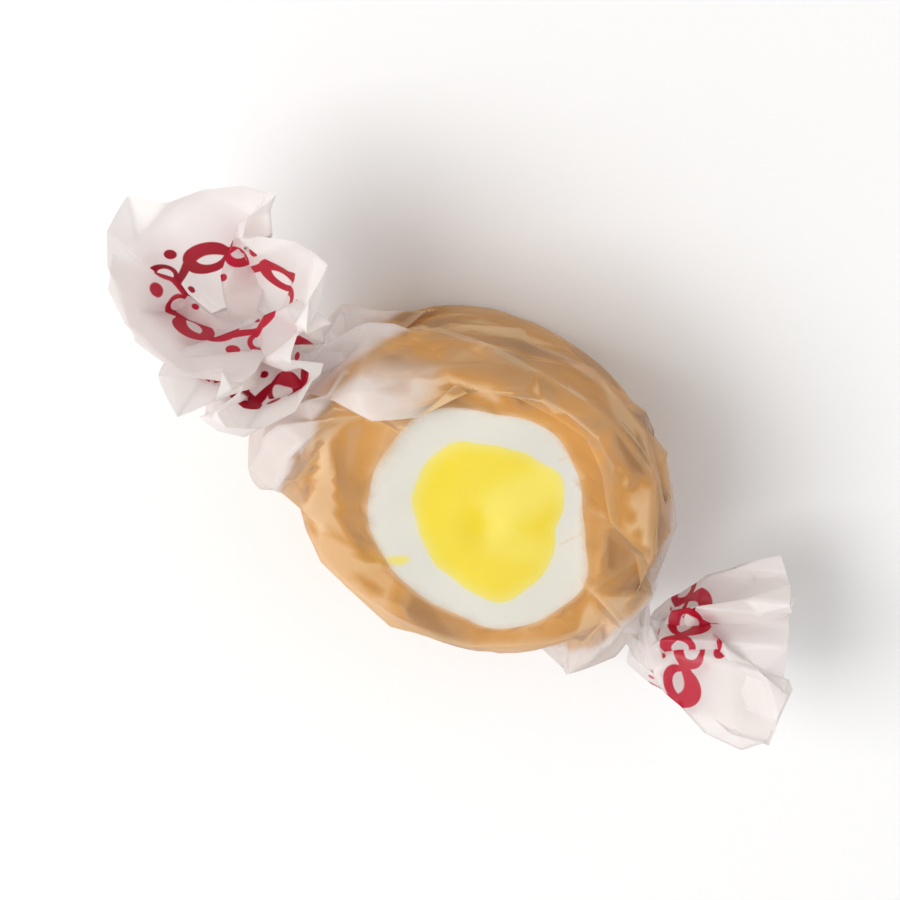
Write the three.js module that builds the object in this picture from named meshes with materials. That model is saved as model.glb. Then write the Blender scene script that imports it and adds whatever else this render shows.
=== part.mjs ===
// A salt water taffy in its twisted waxed-paper wrapper, in millimetres.
//
// The candy is a thick slice of a pulled rope. A yellow core and a white layer run through it, from cut face to
// cut face, inside a caramel skin. It lies on one cut face with the other up (+Z). The paper is one oblong sheet,
// wound round the candy about the X axis with a lap, gathered and twisted at both ends, where it opens into fans.
import * as THREE from "three";

// The candy
const CANDY_HALF_LENGTH = 11.9; // along the twists
const CANDY_HALF_WIDTH = 10.2; // across them
const CANDY_HEIGHT = 18; // from cut face to cut face
const CANDY_SQUARENESS = 2.25; // 2 is an ellipse
const CANDY_SKEW = 0.1; // slope of the line through the slice's middle, which doesn't lie square to the twists
const CANDY_EDGE = 1.2; // radius that the blade leaves round each cut face
const CANDY_DRAWN_IN = 0.1; // how far the side is drawn in at both faces
const CANDY_PINCH = 0.2; // and how far halfway up it
const WIDE_DENT = 0.16; // depth of the three wide dents round the side
const NARROW_DENT = 0.12; // depth of the five narrow ones
const LAYER_GAP = 0.1; // between two layers
const LAYER_DRIFT = 0.12; // turn of the layers from one face to the other, in radians

// Each layer's centre on the face, and its radii at equal steps round it from +X
const WHITE_LAYER = {
  centre: [0.9, -0.1],
  radii: [8.1, 6.8, 6.3, 6.7, 7.1, 7.0, 7.4, 8.4, 8.5, 8.4, 8.3, 7.7, 7.5, 7.6, 8.2, 8.3],
};
const YELLOW_CORE = {
  centre: [0.9, -0.1],
  radii: [5.2, 4.7, 5.0, 5.5, 4.9, 4.8, 5.1, 5.6, 5.7, 5.4, 5.1, 5.0, 5.2, 5.6, 6.2, 5.8],
};

// The paper: one sheet, seen as a section that changes from the candy's middle to the fans' rims
const PAPER = 0.2; // thickness
const PAPER_GAP = 0.4; // between the candy and the paper
const PLY_STEP = 0.5; // how far the outer ply of the lap stands out from the inner one
const LAP_FROM = -20; // degrees about X from +Y, where the inner edge lies
const LAP_TO = 46; // where the outer edge lies, on the upper face
const STEP_OUT_FROM = 312; // between these two the paper moves out over its own first edge
const STEP_OUT_TO = 336;
const GATHERED_TURN = 0.975; // share of a turn that the gathered paper fills
const BODY_SQUARENESS = 12; // of the section over the candy
const PLEATS = 8;
const PLEAT_DEPTH = 0.5; // in the neck
const PLAN_TANGENT = 8.5; // X where the paper leaves the candy's outline, seen from above
const END_TANGENT = 11.2; // X where it leaves the cut faces, seen from the side
const NECK_X = 15.8; // how far out the twist is tightest
const NECK_RADIUS = 1.9;
const NECK_SIDE = -1.8; // Y of the necks
const TWIST = 150; // degrees

// Each end of the paper: half sizes of the fan's rim, length of its spine, how far it leans up and swings to +Y and
// how soon, depth of its ruffles, how quickly it opens, and where round it the ruffles fall. Its lobes are slack
// paper that stands off beside the neck: [place in degrees, half width in degrees, height, from, to], where 0 is the
// candy's middle, 1 the neck and 2 the rim.
const LEFT_END = {
  end: -1,
  across: 7.4,
  deep: 8.4,
  length: 14.2,
  lean: 72,
  leanBy: 1.4,
  swing: 42,
  neckRise: 1.6,
  ruffle: 1.1,
  opening: 0.8,
  phase: 0.3,
  lobes: [
    [108, 58, 4.2, 0.3, 1.35],
    [15, 34, 1.2, 0.2, 0.9],
  ],
};
const RIGHT_END = {
  end: 1,
  across: 6.1,
  deep: 5.4,
  length: 10.6,
  lean: 4,
  leanBy: 2.5,
  swing: 32,
  neckRise: 0.6,
  ruffle: 1.1,
  opening: 0.8,
  phase: 1.9,
  lobes: [
    [150, 30, 1, 0.3, 0.9],
    [190, 45, 1.5, 0.05, 0.95],
  ],
};

// Steps of the two meshes
const CANDY_STEPS = 48;
const PAPER_STEPS = 64;
const BODY_X = [0, 3.4, 6.2, 7.9, 9, 10, 10.8, 11.5, 12.2, 12.9, 13.7, 14.7]; // rows of the paper over the candy
const FAN_ROWS = 8;
const SPINE_STEPS = 5; // steps of a fan's spine between two rows
const RING_SAMPLES = 720;

const TURN = 2 * Math.PI;
const FLOOR_TO_CANDY = PAPER + PAPER_GAP;
const MID_HEIGHT = FLOOR_TO_CANDY + CANDY_HEIGHT / 2;

const radians = (degrees) => (degrees * Math.PI) / 180;
const mix = (a, b, share) => a + (b - a) * share;
const clamp01 = (value) => Math.min(1, Math.max(0, value));
const ease = (value) => {
  const t = clamp01(value);
  return t * t * (3 - 2 * t);
};

// Distance from the centre to the edge of a rounded oblong, towards an angle
function roundedReach(angle, halfX, halfY, squareness) {
  const x = Math.abs(Math.cos(angle) / halfX) ** squareness;
  const y = Math.abs(Math.sin(angle) / halfY) ** squareness;
  return (x + y) ** (-1 / squareness);
}

// Radius at an angle on the smooth closed line through radii at equal steps
function smoothRing(radii, angle) {
  const count = radii.length;
  const place = (angle / TURN) * count;
  const base = Math.floor(place);
  const t = place - base;
  const [before, here, after, beyond] = [-1, 0, 1, 2].map((step) => radii[(base + step + count) % count]);
  const slope = after - before;
  const bend = 2 * before - 5 * here + 4 * after - beyond;
  const twist = 3 * here - before - 3 * after + beyond;
  return 0.5 * (2 * here + slope * t + bend * t ** 2 + twist * t ** 3);
}

// The candy's outer edge at a height from 0 to 1, drawn in by inset. Shallow dents run round and up it.
function skinPoint(angle, height, inset = 0) {
  const wide = WIDE_DENT * Math.sin(3 * angle + 1.1) * Math.sin(2.2 * height + 0.5);
  const dents = wide + NARROW_DENT * Math.sin(5 * angle + 4 * height) - CANDY_PINCH;
  const level = Math.sin(Math.PI * height);
  const reach = roundedReach(angle, CANDY_HALF_LENGTH, CANDY_HALF_WIDTH, CANDY_SQUARENESS);
  const radius = reach - CANDY_DRAWN_IN * (1 - level) + dents * level - inset;
  const x = radius * Math.cos(angle);
  return [x, radius * Math.sin(angle) + CANDY_SKEW * x];
}

// A layer's edge at a height from 0 to 1, moved out by grow
function layerPoint(layer, angle, height, grow = 0) {
  const radius = smoothRing(layer.radii, angle + LAYER_DRIFT * (1 - height)) + grow;
  return [layer.centre[0] + radius * Math.cos(angle), layer.centre[1] + radius * Math.sin(angle)];
}

// A closed solid from rings of points that share one count of steps. With closed rings the last ring joins the first,
// as round a tube's wall, and otherwise the two end rings are filled.
function solidFromRings(rings, wall) {
  const steps = rings[0].length;
  const points = rings.flat();
  const index = [];
  const at = (ring, step) => (ring % rings.length) * steps + (step % steps);
  const bands = wall ? rings.length : rings.length - 1;
  for (let ring = 0; ring < bands; ring++)
    for (let step = 0; step < steps; step++) {
      const [a, b] = [at(ring, step), at(ring, step + 1)];
      const [c, d] = [at(ring + 1, step + 1), at(ring + 1, step)];
      index.push(a, b, c, a, c, d);
    }
  if (!wall)
    for (const ring of [0, rings.length - 1]) {
      const centre = points.length;
      points.push([0, 1, 2].map((axis) => rings[ring].reduce((sum, p) => sum + p[axis], 0) / steps));
      for (let step = 0; step < steps; step++) {
        const [a, b] = [at(ring, step), at(ring, step + 1)];
        if (ring === 0) index.push(centre, b, a);
        else index.push(centre, a, b);
      }
    }
  const geometry = new THREE.BufferGeometry();
  geometry.setAttribute("position", new THREE.Float32BufferAttribute(points.flat(), 3));
  geometry.setIndex(index);
  geometry.computeVertexNormals();
  return geometry;
}

// One ring of points at a height from 0 to 1 above the candy's lower face
function ringAt(height, pointAt) {
  return Array.from({ length: CANDY_STEPS }, (_, step) => {
    const angle = (step / CANDY_STEPS) * TURN;
    return [...pointAt(angle, height), FLOOR_TO_CANDY + height * CANDY_HEIGHT];
  });
}

const layerHeights = [0, 0.25, 0.5, 0.75, 1];

function coreGeometry() {
  return solidFromRings(layerHeights.map((height) => ringAt(height, (a, h) => layerPoint(YELLOW_CORE, a, h))), false);
}

function whiteGeometry() {
  const outside = layerHeights.map((height) => ringAt(height, (a, h) => layerPoint(WHITE_LAYER, a, h)));
  const inside = layerHeights.map((height) => ringAt(height, (a, h) => layerPoint(YELLOW_CORE, a, h, LAYER_GAP)));
  return solidFromRings([...outside, ...inside.reverse()], true);
}

// The skin's outside rolls over into both cut faces, as the blade leaves it
function skinGeometry() {
  const roll = [0, 0.25, 0.55, 1].map((share) => share * (Math.PI / 2));
  const lower = roll.map((turn) => [((1 - Math.cos(turn)) * CANDY_EDGE) / CANDY_HEIGHT, (1 - Math.sin(turn)) * CANDY_EDGE]);
  const upper = lower.map(([height, inset]) => [1 - height, inset]).reverse();
  const middle = [0.3, 0.5, 0.7].map((height) => [height, 0]);
  const outside = [...lower, ...middle, ...upper].map(([height, inset]) =>
    ringAt(height, (a, h) => skinPoint(a, h, inset)),
  );
  const inside = layerHeights.map((height) => ringAt(height, (a, h) => layerPoint(WHITE_LAYER, a, h, LAYER_GAP)));
  return solidFromRings([...outside, ...inside.reverse()], true);
}

// Half the candy's width at a distance along X, with the paper's slack
function candyAcross(x) {
  const share = Math.min(1, x / CANDY_HALF_LENGTH) ** CANDY_SQUARENESS;
  return CANDY_HALF_WIDTH * (1 - share) ** (1 / CANDY_SQUARENESS) + PAPER_GAP + PAPER / 2;
}

// Stations along one end of the paper, from the middle to the fan's rim. Each is a section plane: its centre, how
// it leans and swings, its half sizes, its squareness, the depth of its pleats, its lobes and its twist.
function stationsTowards(fan) {
  const bodyDeep = CANDY_HEIGHT / 2 + PAPER_GAP + PAPER / 2;
  const wrapped = [...BODY_X, NECK_X].map((x) => {
    const plan = clamp01((x - PLAN_TANGENT) / (NECK_X - PLAN_TANGENT));
    const end = clamp01((x - END_TANGENT) / (NECK_X - END_TANGENT));
    const side = mix(CANDY_SKEW * fan.end * x, NECK_SIDE, ease(plan * 1.1 - 0.1));
    return {
      centre: new THREE.Vector3(fan.end * x, side, MID_HEIGHT + fan.neckRise * ease(end)),
      lean: 0,
      swing: 0,
      across: mix(candyAcross(Math.min(x, PLAN_TANGENT)), NECK_RADIUS, plan),
      deep: mix(bodyDeep, NECK_RADIUS, end ** 1.1),
      squareness: mix(BODY_SQUARENESS, 2, ease(plan * 1.2 - 0.2)),
      pleat: PLEAT_DEPTH * ease(end * 1.5),
      twist: radians(TWIST) * 0.5 * ease(end),
      gathered: ease(plan * 1.6),
      phase: fan.phase,
      lobes: fan.lobes,
      share: mix(0.45 * ease((x - 3.5) / 9), 1, end),
    };
  });
  const neck = wrapped[wrapped.length - 1];
  const centre = neck.centre.clone();
  const steps = FAN_ROWS * SPINE_STEPS;
  let last = 0;
  const fanned = Array.from({ length: steps }, (_, i) => ((i + 1) / steps) ** 1.15).map((share) => {
    const lean = radians(fan.lean) * ease(share * fan.leanBy);
    const swing = radians(fan.swing) * ease(share * 2);
    const along = new THREE.Vector3(
      fan.end * Math.cos(lean) * Math.cos(swing),
      Math.cos(lean) * Math.sin(swing),
      Math.sin(lean),
    );
    centre.addScaledVector(along, (share - last) * fan.length);
    last = share;
    const open = share ** fan.opening;
    return {
      ...neck,
      centre: centre.clone(),
      lean: lean * fan.end,
      swing: swing * fan.end,
      across: mix(NECK_RADIUS, fan.across, open),
      deep: mix(NECK_RADIUS, fan.deep, open),
      squareness: 2,
      pleat: mix(PLEAT_DEPTH, fan.ruffle, ease(share)),
      twist: radians(TWIST) * mix(0.5, 1, ease(share * 2.6)),
      share: 1 + share,
    };
  });
  return [...wrapped, ...fanned.filter((_, i) => (i + 1) % SPINE_STEPS === 0)];
}

// Uneven pleats: a soft zigzag whose teeth are of different widths
function pleatAt(turn, phase) {
  const place = turn + 0.035 * Math.sin(2 * TURN * turn + phase) + 0.018 * Math.sin(3 * TURN * turn + 2.1 * phase);
  return Math.asin(0.96 * Math.sin(PLEATS * TURN * place + phase)) / Math.asin(0.96);
}

// How far the slack paper's lobes stand out at an angle round a station
function lobesAt(angle, station) {
  return station.lobes.reduce((sum, [place, halfWidth, height, from, to]) => {
    if (station.share <= from || station.share >= to) return sum;
    const off = Math.abs(Math.atan2(Math.sin(angle - radians(place)), Math.cos(angle - radians(place))));
    const along = Math.sin((Math.PI * (station.share - from)) / (to - from));
    return sum + height * along * ease(1 - off / radians(halfWidth));
  }, 0);
}

// A station's section as a closed line about its centre, with the distance round it at each sample
function sectionLine(station) {
  const line = Array.from({ length: RING_SAMPLES + 1 }, (_, i) => {
    const turn = i / RING_SAMPLES;
    const angle = turn * TURN;
    const reach =
      roundedReach(angle, station.across, station.deep, station.squareness) +
      lobesAt(angle, station) +
      station.pleat * pleatAt(turn, station.phase);
    return { y: reach * Math.cos(angle), z: reach * Math.sin(angle), length: 0 };
  });
  for (let i = 1; i < line.length; i++)
    line[i].length = line[i - 1].length + Math.hypot(line[i].y - line[i - 1].y, line[i].z - line[i - 1].z);
  return line;
}

// The share of the way round a section line at which it faces an angle in degrees
function shareAtAngle(line, degrees) {
  const whole = Math.floor(degrees / 360);
  const sample = ((degrees - 360 * whole) / 360) * RING_SAMPLES;
  const low = Math.min(Math.floor(sample), RING_SAMPLES - 1);
  const length = mix(line[low].length, line[low + 1].length, sample - low);
  return whole + length / line[RING_SAMPLES].length;
}

function pointAtShare(line, share) {
  const wanted = (share - Math.floor(share)) * line[RING_SAMPLES].length;
  let high = 1;
  while (high < RING_SAMPLES && line[high].length < wanted) high++;
  const [a, b] = [line[high - 1], line[high]];
  const t = (wanted - a.length) / Math.max(b.length - a.length, 1e-9);
  return { y: mix(a.y, b.y, t), z: mix(a.z, b.z, t) };
}

// The paper's middle surface: rows of points, one row for each station
function paperRow(station) {
  const line = sectionLine(station);
  const from = shareAtAngle(line, LAP_FROM);
  const to = mix(shareAtAngle(line, LAP_TO + 360), from + GATHERED_TURN, station.gathered);
  const stepFrom = shareAtAngle(line, STEP_OUT_FROM);
  const stepTo = shareAtAngle(line, STEP_OUT_TO);
  return Array.from({ length: PAPER_STEPS + 1 }, (_, i) => {
    const share = mix(from, to, i / PAPER_STEPS);
    const { y, z } = pointAtShare(line, share);
    const size = Math.hypot(y, z);
    const out = PLY_STEP * ease((share - stepFrom) / (stepTo - stepFrom)) * (1 - station.gathered);
    const turned = new THREE.Vector2((y * (size + out)) / size, (z * (size + out)) / size);
    turned.rotateAround(new THREE.Vector2(), station.twist);
    const point = new THREE.Vector3(0, turned.x, turned.y)
      .applyAxisAngle(new THREE.Vector3(0, 1, 0), -station.lean)
      .applyAxisAngle(new THREE.Vector3(0, 0, 1), station.swing)
      .add(station.centre);
    point.z = Math.max(point.z, PAPER / 2);
    return point;
  });
}

function paperRows() {
  const left = stationsTowards(LEFT_END).slice(1).reverse();
  const right = stationsTowards(RIGHT_END);
  return [...left, ...right].map(paperRow);
}

// The sheet as a closed solid: its middle surface moved half the thickness each way, and a strip round its edges
function wrapperGeometry() {
  const rows = paperRows();
  const columns = rows[0].length;
  const at = (row, column) => rows[Math.min(Math.max(row, 0), rows.length - 1)][Math.min(Math.max(column, 0), columns - 1)];
  const outer = [];
  const inner = [];
  rows.forEach((points, row) =>
    points.forEach((point, column) => {
      const across = at(row, column + 1).clone().sub(at(row, column - 1));
      const along = at(row + 1, column).clone().sub(at(row - 1, column));
      const normal = across.cross(along).normalize().multiplyScalar(PAPER / 2);
      const outside = point.clone().add(normal);
      outside.z = Math.max(outside.z, 0);
      outer.push(outside);
      inner.push(point.clone().sub(normal));
    }),
  );
  const count = rows.length * columns;
  const index = [];
  const number = (row, column) => row * columns + column;
  const quad = (a, b, c, d) => index.push(a, b, c, a, c, d);
  for (let row = 0; row + 1 < rows.length; row++)
    for (let column = 0; column + 1 < columns; column++) {
      const [a, b] = [number(row, column), number(row, column + 1)];
      const [c, d] = [number(row + 1, column + 1), number(row + 1, column)];
      quad(a, b, c, d);
      quad(count + a, count + d, count + c, count + b);
    }
  for (let row = 0; row + 1 < rows.length; row++)
    for (const column of [0, columns - 1]) {
      const [a, d] = [number(row, column), number(row + 1, column)];
      if (column === 0) quad(a, d, count + d, count + a);
      else quad(a, count + a, count + d, d);
    }
  for (let column = 0; column + 1 < columns; column++)
    for (const row of [0, rows.length - 1]) {
      const [a, b] = [number(row, column), number(row, column + 1)];
      if (row === 0) quad(a, count + a, count + b, b);
      else quad(a, b, count + b, count + a);
    }
  const geometry = new THREE.BufferGeometry();
  const points = [...outer, ...inner].flatMap((p) => [p.x, p.y, p.z]);
  geometry.setAttribute("position", new THREE.Float32BufferAttribute(points, 3));
  geometry.setIndex(index);
  geometry.computeVertexNormals();
  return geometry;
}

const yellow = new THREE.MeshStandardMaterial({ color: 0xf0e030, roughness: 0.5 });
const white = new THREE.MeshStandardMaterial({ color: 0xf3f1e8, roughness: 0.5 });
const caramel = new THREE.MeshStandardMaterial({ color: 0xd9a566, roughness: 0.55 });
const waxedPaper = new THREE.MeshStandardMaterial({
  color: 0xf1ebe8,
  roughness: 0.4,
  transparent: true,
  opacity: 0.4,
  side: THREE.DoubleSide,
});

function named(name, geometry, material) {
  const mesh = new THREE.Mesh(geometry, material);
  mesh.name = name;
  return mesh;
}

const taffy = new THREE.Group();
taffy.add(
  named("yellow_core", coreGeometry(), yellow),
  named("white_layer", whiteGeometry(), white),
  named("caramel_skin", skinGeometry(), caramel),
  named("wrapper", wrapperGeometry(), waxedPaper),
);

export default taffy;
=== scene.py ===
"""A salt water taffy in twisted waxed paper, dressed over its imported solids.

Lengths inside the shape functions are in millimetres, in the part's own frame: +X along the twists, +Z up.
They become metres when a mesh is made.
"""

import math

import bpy
import numpy as np
from bpy.props import FloatProperty, FloatVectorProperty, IntProperty, PointerProperty
from mathutils import Matrix, Vector
from mathutils.geometry import delaunay_2d_cdt


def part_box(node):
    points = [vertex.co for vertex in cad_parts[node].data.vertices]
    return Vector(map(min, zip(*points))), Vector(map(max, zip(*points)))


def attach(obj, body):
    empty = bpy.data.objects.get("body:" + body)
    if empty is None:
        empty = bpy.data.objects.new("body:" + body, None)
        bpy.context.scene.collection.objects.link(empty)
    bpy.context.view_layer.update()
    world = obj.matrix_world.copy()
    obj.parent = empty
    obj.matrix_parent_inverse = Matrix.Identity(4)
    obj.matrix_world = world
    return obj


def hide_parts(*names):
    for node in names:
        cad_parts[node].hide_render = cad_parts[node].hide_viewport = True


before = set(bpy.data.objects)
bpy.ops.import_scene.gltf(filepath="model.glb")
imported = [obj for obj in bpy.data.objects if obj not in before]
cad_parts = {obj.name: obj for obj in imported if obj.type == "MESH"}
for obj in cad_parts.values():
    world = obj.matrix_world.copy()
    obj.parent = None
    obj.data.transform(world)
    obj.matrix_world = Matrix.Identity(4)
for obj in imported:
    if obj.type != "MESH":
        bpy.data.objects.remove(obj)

bl_info = {
    "name": "Wrapped Taffy",
    "version": (1, 0, 0),
    "blender": (4, 5, 0),
    "location": "View3D > Sidebar > Taffy",
    "description": "Builds a layered taffy, its waxed-paper wrapper and a small stage",
    "category": "Add Mesh",
}

MM = 0.001
TURN = 2 * math.pi
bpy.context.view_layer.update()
SKIN_LOW, SKIN_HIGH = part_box("caramel_skin")
CANDY_FLOOR = SKIN_LOW.z / MM
CANDY_TOP = SKIN_HIGH.z / MM
MIDDLE = (CANDY_FLOOR + CANDY_TOP) / 2

# The layers' outlines on the face: their centre, and radii at equal steps round it from +X
LAYER_CENTRE = (0.9, -0.1)
LAYER_RADII = {
    "white": (8.1, 6.8, 6.3, 6.7, 7.1, 7.0, 7.4, 8.4, 8.5, 8.4, 8.3, 7.7, 7.5, 7.6, 8.2, 8.3),
    "yellow": (5.2, 4.7, 5.0, 5.5, 4.9, 4.8, 5.1, 5.6, 5.7, 5.4, 5.1, 5.0, 5.2, 5.6, 6.2, 5.8),
}
LAYER_DRIFT = 0.12  # turn of the layers from one face to the other, in radians

CANDY_STEPS = 288  # mesh steps round the candy
WALL_LEVELS = 17  # heights up the candy's side, from face to face
SHEET_STEPS = (108, 84)  # the coarse sheet's steps round the candy and along the twists
FACET_STRETCH = 1.6  # the paper's facets are longer along the twists, where its folds run
FLATNESS = 0.85  # how nearly each facet is flat
TAUT, LOOSE = 0.08, 0.8  # how far the facets' corners stand out over the white and at the sides, in mm
FLOOR_GAP = 0.04  # between the paper and the floor, in millimetres
UV_SPAN = 100.0  # millimetres of the sheet to one step of its UV map

# The printed bands: their distance from the sheet's middle and half their width, in millimetres, and the
# scale of what is printed
BAND_PLACE = 31.6
BAND_HALF = 2.5
PRINT_SCALE = 0.7

# The paper's colours where it lies on the caramel: painted shade deep in a fold and where shaded, the
# caramel's plain colour, a painted highlight where bright, and along creases a paleness that is partly
# the wax whitening and partly a painted highlight
PAINTED_FOLD_SHADE = (0.32, 0.16, 0.05)
PAINTED_SOFT_SHADE = (0.58, 0.34, 0.14)
PLAIN_STAIN = (0.79, 0.405, 0.09)
PAINTED_HIGHLIGHT_ON_CARAMEL = (0.95, 0.66, 0.35)
CREASE_WHITENING_AND_HIGHLIGHT = (0.95, 0.72, 0.45)

# Streaks and hairline cracks on the face: start, end, radius, blur, colour and strength
WHITE_SMEARS = (
    ((-3.6, -7.6), (-2.0, -6.3), 0.12, 0.4, (0.85, 0.72, 0.06), 0.8),
    ((2.4, 5.8), (2.9, 6.7), 0.02, 0.14, (0.75, 0.5, 0.3), 0.4),
    ((6.1, 1.2), (6.8, 2.8), 0.02, 0.14, (0.75, 0.5, 0.3), 0.4),
)
YELLOW_SMEARS = (
    ((1.4, 0.6), (2.8, 4.6), 0.5, 2.0, (0.9, 0.78, 0.16), 0.5),
    ((2.6, -1.2), (4.6, -0.4), 0.3, 1.6, (0.9, 0.78, 0.14), 0.4),
    ((-0.2, -1.0), (0.5, -1.5), 0.2, 0.9, (0.87, 0.68, 0.005), 0.9),
    ((-3.2, 0.4), (-2.0, -2.6), 0.3, 1.4, (0.87, 0.69, 0.01), 0.7),
)
CARAMEL_SMEARS = (((-4.4, -8.2), (-3.4, -7.4), 0.1, 0.5, (0.76, 0.56, 0.05), 0.6),)

# Folds that the paper has pressed into the caramel, as lines on the face: start, end, height of the
# ridge, width of its steep side, which lies to the left of the line, width of its gentle side, and how
# strongly painted shade darkens the steep side and a painted highlight lightens the gentle side
SKIN_FOLDS = (
    ((-11.0, -2.2), (-8.4, -5.1), 0.45, 0.35, 1.4, 0.8),
    ((-9.7, -7.2), (-11.5, -2.5), 0.3, 0.25, 0.8, 1.0),
    ((-7.3, -6.4), (-3.5, -8.1), 0.35, 0.35, 1.9, 0.5),
    ((-3.8, -9.2), (1.3, -9.1), 0.35, 0.35, 1.4, 0.5),
    ((11.1, -0.9), (14.9, -1.2), 0.35, 0.3, 0.8, 0.9),
    ((7.7, 4.8), (9.8, 0.5), 0.4, 0.4, 0.7, 0.7),
    ((12.8, 2.8), (7.5, 6.8), 0.4, 0.3, 0.9, 0.6),
    ((7.2, 7.0), (4.4, 8.5), 0.4, 0.3, 0.9, 0.6),
    ((-4.6, 10.1), (-8.2, 10.0), 0.5, 0.35, 1.2, 0.9),
    ((-1.7, 10.4), (2.0, 11.3), 0.35, 0.4, 1.4, 0.4),
    ((-5.1, 12.3), (-1.3, 10.5), 0.4, 0.4, 1.4, 0.4),
    ((-9.3, 7.6), (-11.7, 3.8), 0.35, 0.3, 0.7, 0.5),
    ((7.0, -6.1), (8.7, -2.8), 0.3, 0.25, 0.7, 0.5),
)

# Places where the paper on the caramel is painted darker or paler than round them: painted shade in folds
# and shadows and painted highlights on crests, as lines on the face: start, end, radius in which the value
# holds, width over which it fades, and the value, which is 0 deep in a fold, 0.5 where plain and 1 where
# bright
PAINTED_PAPER_SHADE_AND_HIGHLIGHTS = (
    ((-9.0, -7.2), (-7.2, -6.8), 0.5, 0.6, 1.0),
    ((-7.5, -8.5), (-3.8, -10.1), 0.5, 0.8, 0.9),
    ((-2.3, -10.9), (2.1, -10.1), 0.4, 0.6, 0.85),
    ((-10.7, -3.4), (-9.3, -5.1), 0.3, 0.35, 0.95),
    ((-8.9, -5.6), (-8.2, -6.2), 0.35, 0.4, 1.0),
    ((-7.7, -6.0), (-7.4, -6.2), 0.05, 0.3, 0.0),
    ((-9.5, -2.5), (-6.4, -6.2), 0.4, 0.6, 0.3),
    ((-10.0, -6.3), (-10.7, -4.8), 0.08, 0.2, 0.0),
    ((-8.8, 5.4), (-8.7, 5.4), 0.35, 0.35, 0.1),
    ((-11.1, 7.8), (-9.1, 9.0), 0.7, 0.5, 0.55),
    ((-11.8, 2.6), (-9.2, 3.4), 0.5, 0.4, 0.5),
    ((-7.6, 7.1), (-3.2, 9.0), 0.6, 0.6, 0.25),
    ((-12.5, 7.9), (-8.9, 10.3), 0.05, 0.25, 0.95),
    ((-7.4, 10.2), (-6.0, 10.3), 0.08, 0.3, 0.0),
    ((-5.2, 11.7), (0.4, 13.4), 0.5, 0.9, 0.4),
    ((-7.2, 5.9), (-5.1, 6.6), 0.03, 0.15, 1.0),
    ((-5.0, 6.6), (-3.0, 7.8), 0.03, 0.15, 1.0),
    ((-7.4, 5.3), (-6.1, 5.7), 0.06, 0.25, 0.15),
    ((0.6, 7.9), (3.4, 8.1), 0.4, 0.5, 0.48),
    ((2.9, 8.1), (3.6, 8.3), 0.1, 0.35, 0.25),
    ((5.1, 7.1), (7.7, 5.2), 0.4, 0.5, 0.3),
    ((9.4, 3.3), (11.2, 1.8), 0.4, 0.5, 0.15),
    ((6.3, 9.8), (7.5, 7.3), 0.12, 0.25, 0.0),
    ((12.9, 0.3), (12.8, 1.6), 0.12, 0.3, 0.0),
    ((3.8, -7.7), (4.8, -7.4), 0.05, 0.3, 0.15),
    ((8.1, -5.4), (10.2, -2.7), 0.2, 0.4, 0.6),
    ((6.9, 3.8), (9.8, -0.6), 0.3, 0.4, 0.5),
    ((1.7, 13.4), (4.4, 11.7), 0.1, 0.3, 0.9),
)

# How the two ends of the paper differ, in millimetres and degrees. The fan's half widths at its rim are
# across and deep. It leans up, sooner for more turning, and swings aside, and widens early where its
# opening is below 1. The folds lie round folds_at, spread over folds_over. lap gives the place of the
# sheet's outer edge round the section at distances from the candy's middle. Each of the bulges has its
# place and half width round the section, its height, and where it starts and stops, 0 being where the
# paper leaves the candy and 1 the neck.
LEFT_END = {
    "end": -1,
    "across": 7.0,
    "deep": 8.1,
    "length": 14.0,
    "lean": 72,
    "turning": 1.4,
    "swing": 42,
    "neck_rise": 1.6,
    "opening": 0.8,
    "folds": 6,
    "folds_at": 265,
    "folds_over": 190,
    "seed": 3,
    "lap": ((0, 49), (2.5, 48), (5.5, 50), (7, 55), (9.2, 84), (12, 88), (13.5, 70), (18, 60)),
    "bulges": ((110, 55, 4.2, 0.35, 1.35), (160, 50, 2.4, 0.05, 0.85), (15, 34, 1.2, 0.2, 0.9)),
}
RIGHT_END = {
    "end": 1,
    "across": 6.1,
    "deep": 5.6,
    "length": 10.8,
    "lean": 4,
    "turning": 2.5,
    "swing": 32,
    "neck_rise": 0.6,
    "opening": 0.8,
    "folds": 6,
    "folds_at": 180,
    "folds_over": 360,
    "seed": 8,
    "lap": ((0, 49), (2, 50), (4.3, 48), (6.7, 63), (9.1, 84), (12, 79), (14, 65), (18, 55)),
    "bulges": ((150, 30, 1.0, 0.3, 0.9), (190, 45, 1.5, 0.05, 0.95)),
}

# How the sheet settles, first coarse and then twice as fine: the rounds; how firmly it keeps its lengths
# and its square cells and resists bending; after how many rounds its plies are parted, and by what gap;
# how firmly it clings to the candy and is held to its gathered form; and the steps across a panel that
# bends as one
SETTLING = (
    {
        "rounds": 700,
        "stretch": 0.8,
        "shear": 0.25,
        "bend": 0.35,
        "plies": 4,
        "ply_gap": 0.55,
        "cling": 0.09,
        "hold": 0.01,
        "panel": 5,
    },
    {
        "rounds": 160,
        "stretch": 0.8,
        "shear": 0.25,
        "bend": 0.45,
        "plies": 6,
        "ply_gap": 0.3,
        "cling": 0.07,
        "hold": 0.004,
        "panel": 7,
    },
)

# The stage: image right and up in the part's frame, what the camera and the lamps aim at, in metres, and
# the lamps: name, place along image right, image up and +Z, size in metres and power in watts
IMAGE_RIGHT = Vector((0.80, 0.60, 0.0))
IMAGE_UP = Vector((-0.60, 0.80, 0.0))
AIM = Vector((-0.003, 0.0005, 0.011))
LAMPS = (
    ("key", (-0.32, 0.02, 0.48), 0.34, 1.9),
    ("fill", (0.34, 0.10, 0.42), 0.40, 0.25),
    ("low", (-0.25, -0.30, 0.42), 0.50, 0.55),
)
SKY = (1.0, 0.99, 0.98, 1.0)
SKY_STRENGTH = 0.47
FLOOR_REACH = 600  # from the middle to the floor's sides, in millimetres
SENSOR_WIDTH = 36.0  # of the camera, in millimetres


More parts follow.
